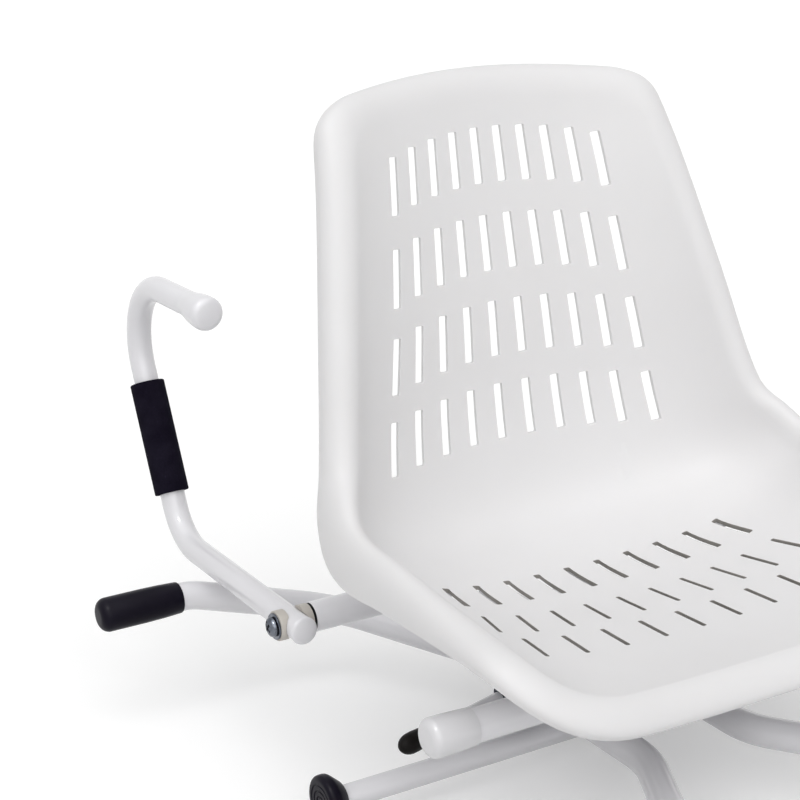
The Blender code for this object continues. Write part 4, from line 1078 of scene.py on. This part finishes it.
def closeRing(piece):
    # a ring's stations end where they began: the end faces go and the bore's wall is bridged
    activate(piece)
    bpy.ops.object.mode_set(mode="EDIT")
    selectWhere(piece, "FACE", lambda face: len(face.verts) > 4)
    bpy.ops.mesh.delete(type="ONLY_FACE")
    selectWhere(piece, "EDGE", lambda edge: edge.is_boundary)
    bpy.ops.mesh.bridge_edge_loops()
    bpy.ops.mesh.select_all(action="SELECT")
    bpy.ops.mesh.normals_make_consistent(inside=False)
    bpy.ops.object.mode_set(mode="OBJECT")


# Swivel lock's lever
leverValues = {
    "start": (-0.1074, 0.0046, -0.0128),
    "tip": (-0.2290, -0.0510, 0.0025),
    "diameter": 0.0100,
    "endRound": 0.0005,
    "gripWall": 0.0033,                  # rubber in front of the rod's end
    "gripBore": 0.0051,
    "gripBoreEnd": 0.003,
    "gripRadius": 0.0081,
    "gripLength": 0.0340,
    "gripMouth": 0.0069,
    "mouthEdge": (0.0005, 0.0006),
    "flare": ((0.6, 0.2), (1.0, 0.5)),
    "domeFrom": 0.62,                    # share of the grip's length
    "domeTurns": (10, 20, 30, 40, 50, 60, 70, 80, 88),
}


def makeLever(values):
    start, tip = Vector(values["start"]), Vector(values["tip"])
    run = (tip - start).normalized()
    rod = makeTube("releaseLever", [start, tip - run * values["gripWall"]], [],
                   values["diameter"], values["endRound"])
    finishPiece(rod, "whiteCoat", "swivel_lock", "release_lever")
    length, radius, mouth = values["gripLength"], values["gripRadius"], values["gripMouth"]
    bore, domeFrom = values["gripBore"], values["domeFrom"]
    edgeIn, edgeUp = values["mouthEdge"]
    stations = [(bore, length - values["gripBoreEnd"]), (bore, 0.0), (mouth - edgeIn, 0.0),
                (mouth, edgeUp)]
    stations += widening(mouth, radius, length, values["flare"])
    stations += domedEnd(radius, length * domeFrom, length * (1 - domeFrom),
                         values["domeTurns"])
    grip = makeTurned("leverGrip", tip - run * length, run, stations)
    finishPiece(grip, "gripRubber", "swivel_lock", "lever_grip")


# CAD nodes whose shape is right keep it, with a finish of their own
keptNodes = {
    "whiteCoat": ("base_plate", "turntable_plate", "carrier_rail_left", "carrier_rail_right"),
    "glidePlastic": ("glide_ring",),
    "beigePlastic": ("rear_tube_insert",),
    "zincSteel": ("index_plate", "spindle", "spindle_washer", "spindle_nut", "lever_pivot_bolt",
                  "lever_pivot_spacer", "lever_pivot_nut", "lever_spring", "pawl",
                  "shell_screw_front_left", "shell_screw_front_right",
                  "shell_screw_rear_left", "shell_screw_rear_right"),
}


def dressKeptNodes():
    for finish, names in keptNodes.items():
        for name in names:
            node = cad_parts[name]
            node.data.materials.clear()
            node.data.materials.append(finishes[finish])


# Floor, backdrop and light
studioValues = {
    "floorZ": -0.0775,
    "floorSize": 30.0,
    "floorColour": (0.80, 0.80, 0.80),
    "floorRough": 0.9,
    "floorLift": 0.26,       # what the camera sees on top of the floor's own light
    "white": (1, 1, 1, 1),
    "skyLight": 0.45,
    "keyLight": 1.92,
    "keyFrom": (-0.58, -0.90, 1.86),
    "keySpread": 90.0,       # degrees
    "fillLight": 0.60,
    "fillFrom": (-0.30, -1.20, 0.10),
    "fillSpread": 60.0,
    "glintPower": 18.0,      # seen in reflections only
    "glintPlace": (-1.05, -0.52, 1.95),
    "glintAim": (0.0, 0.05, 0.15),
    "glintSize": 0.45,
}


def addLamp(kind, name, place, aim):
    deselectAll()
    bpy.ops.object.light_add(type=kind, location=place)
    lamp = bpy.context.object
    lamp.name = name
    lamp.rotation_mode = "QUATERNION"
    lamp.rotation_quaternion = (Vector(aim) - Vector(place)).to_track_quat("-Z", "Y")
    return lamp


def seenDirectly(nodes, links):
    # one for what the camera, a reflection or glass shows, and none for light on the object
    rays = nodes.new("ShaderNodeLightPath")
    found = rays.outputs["Is Camera Ray"]
    for kind in ("Is Glossy Ray", "Is Transmission Ray"):
        either = nodes.new("ShaderNodeMath")
        either.operation = "MAXIMUM"
        links.new(found, either.inputs[0])
        links.new(rays.outputs[kind], either.inputs[1])
        found = either.outputs[0]
    return found


def addFloor(values):
    deselectAll()
    bpy.ops.mesh.primitive_plane_add(size=values["floorSize"], location=(0, 0, values["floorZ"]))
    floor = bpy.context.object
    floor.name = "studioFloor"
    paint = bpy.data.materials.new("floorPaint")
    paint.use_nodes = True
    nodes, links = paint.node_tree.nodes, paint.node_tree.links
    shader = setInputs(nodes["Principled BSDF"], {
        "Base Color": (*values["floorColour"], 1),
        "Roughness": values["floorRough"],
        "Specular IOR Level": 0.0,
        "Emission Color": values["white"],
    })
    lift = nodes.new("ShaderNodeMath")
    lift.operation = "MULTIPLY"
    lift.inputs[1].default_value = values["floorLift"]
    links.new(seenDirectly(nodes, links), lift.inputs[0])
    links.new(lift.outputs[0], shader.inputs["Emission Strength"])
    floor.data.materials.append(paint)


def addSky(values):
    world = bpy.data.worlds.new("studioSky")
    bpy.context.scene.world = world
    world.use_nodes = True
    nodes, links = world.node_tree.nodes, world.node_tree.links
    light = setInputs(nodes["Background"],
                      {"Color": values["white"], "Strength": values["skyLight"]})
    seen = setInputs(nodes.new("ShaderNodeBackground"),
                     {"Color": values["white"], "Strength": 1.0})
    pick = nodes.new("ShaderNodeMixShader")
    links.new(seenDirectly(nodes, links), pick.inputs["Fac"])
    links.new(light.outputs["Background"], pick.inputs[1])
    links.new(seen.outputs["Background"], pick.inputs[2])
    links.new(pick.outputs["Shader"], nodes["World Output"].inputs["Surface"])


def addLights(values):
    for word in ("key", "fill"):
        lamp = addLamp("SUN", word + "Lamp", values[word + "From"], (0, 0, 0))
        lamp.data.energy = values[word + "Light"]
        lamp.data.angle = math.radians(values[word + "Spread"])
    glint = addLamp("AREA", "glintLamp", values["glintPlace"], values["glintAim"])
    glint.data.shape = "DISK"
    glint.data.size = values["glintSize"]
    glint.data.energy = values["glintPower"]
    glint.visible_diffuse = False
    bpy.context.scene.view_settings.view_transform = "Standard"


addCamera(cameraView)
print("camera set")
makeBaseFrame(baseValues)
makeRimSleeves(sleeveValues)
makeBathStops(stopValues)
print("base frame, sleeves and stops made")
makeCrossTubes(crossValues)
makeTubeCaps(capValues, crossValues)
makeLever(leverValues)
print("cross tubes, caps and lever made")
makeArmrestTube(armValues)
makeArmrestGrip(gripValues, armValues)
makeArmrestEndCap(endCapValues, armValues)
makeArmrestPlug(plugValues, armValues)
for word in ("inner", "outer"):
    makeSaddle(word, saddleValues, armValues)
makeArmrestScrew(screwValues)
print("armrest made")
makeSeatShell(shellValues)
print("seat shell made")
dressKeptNodes()
addFloor(studioValues)
addSky(studioValues)
addLights(studioValues)
print("studio set")
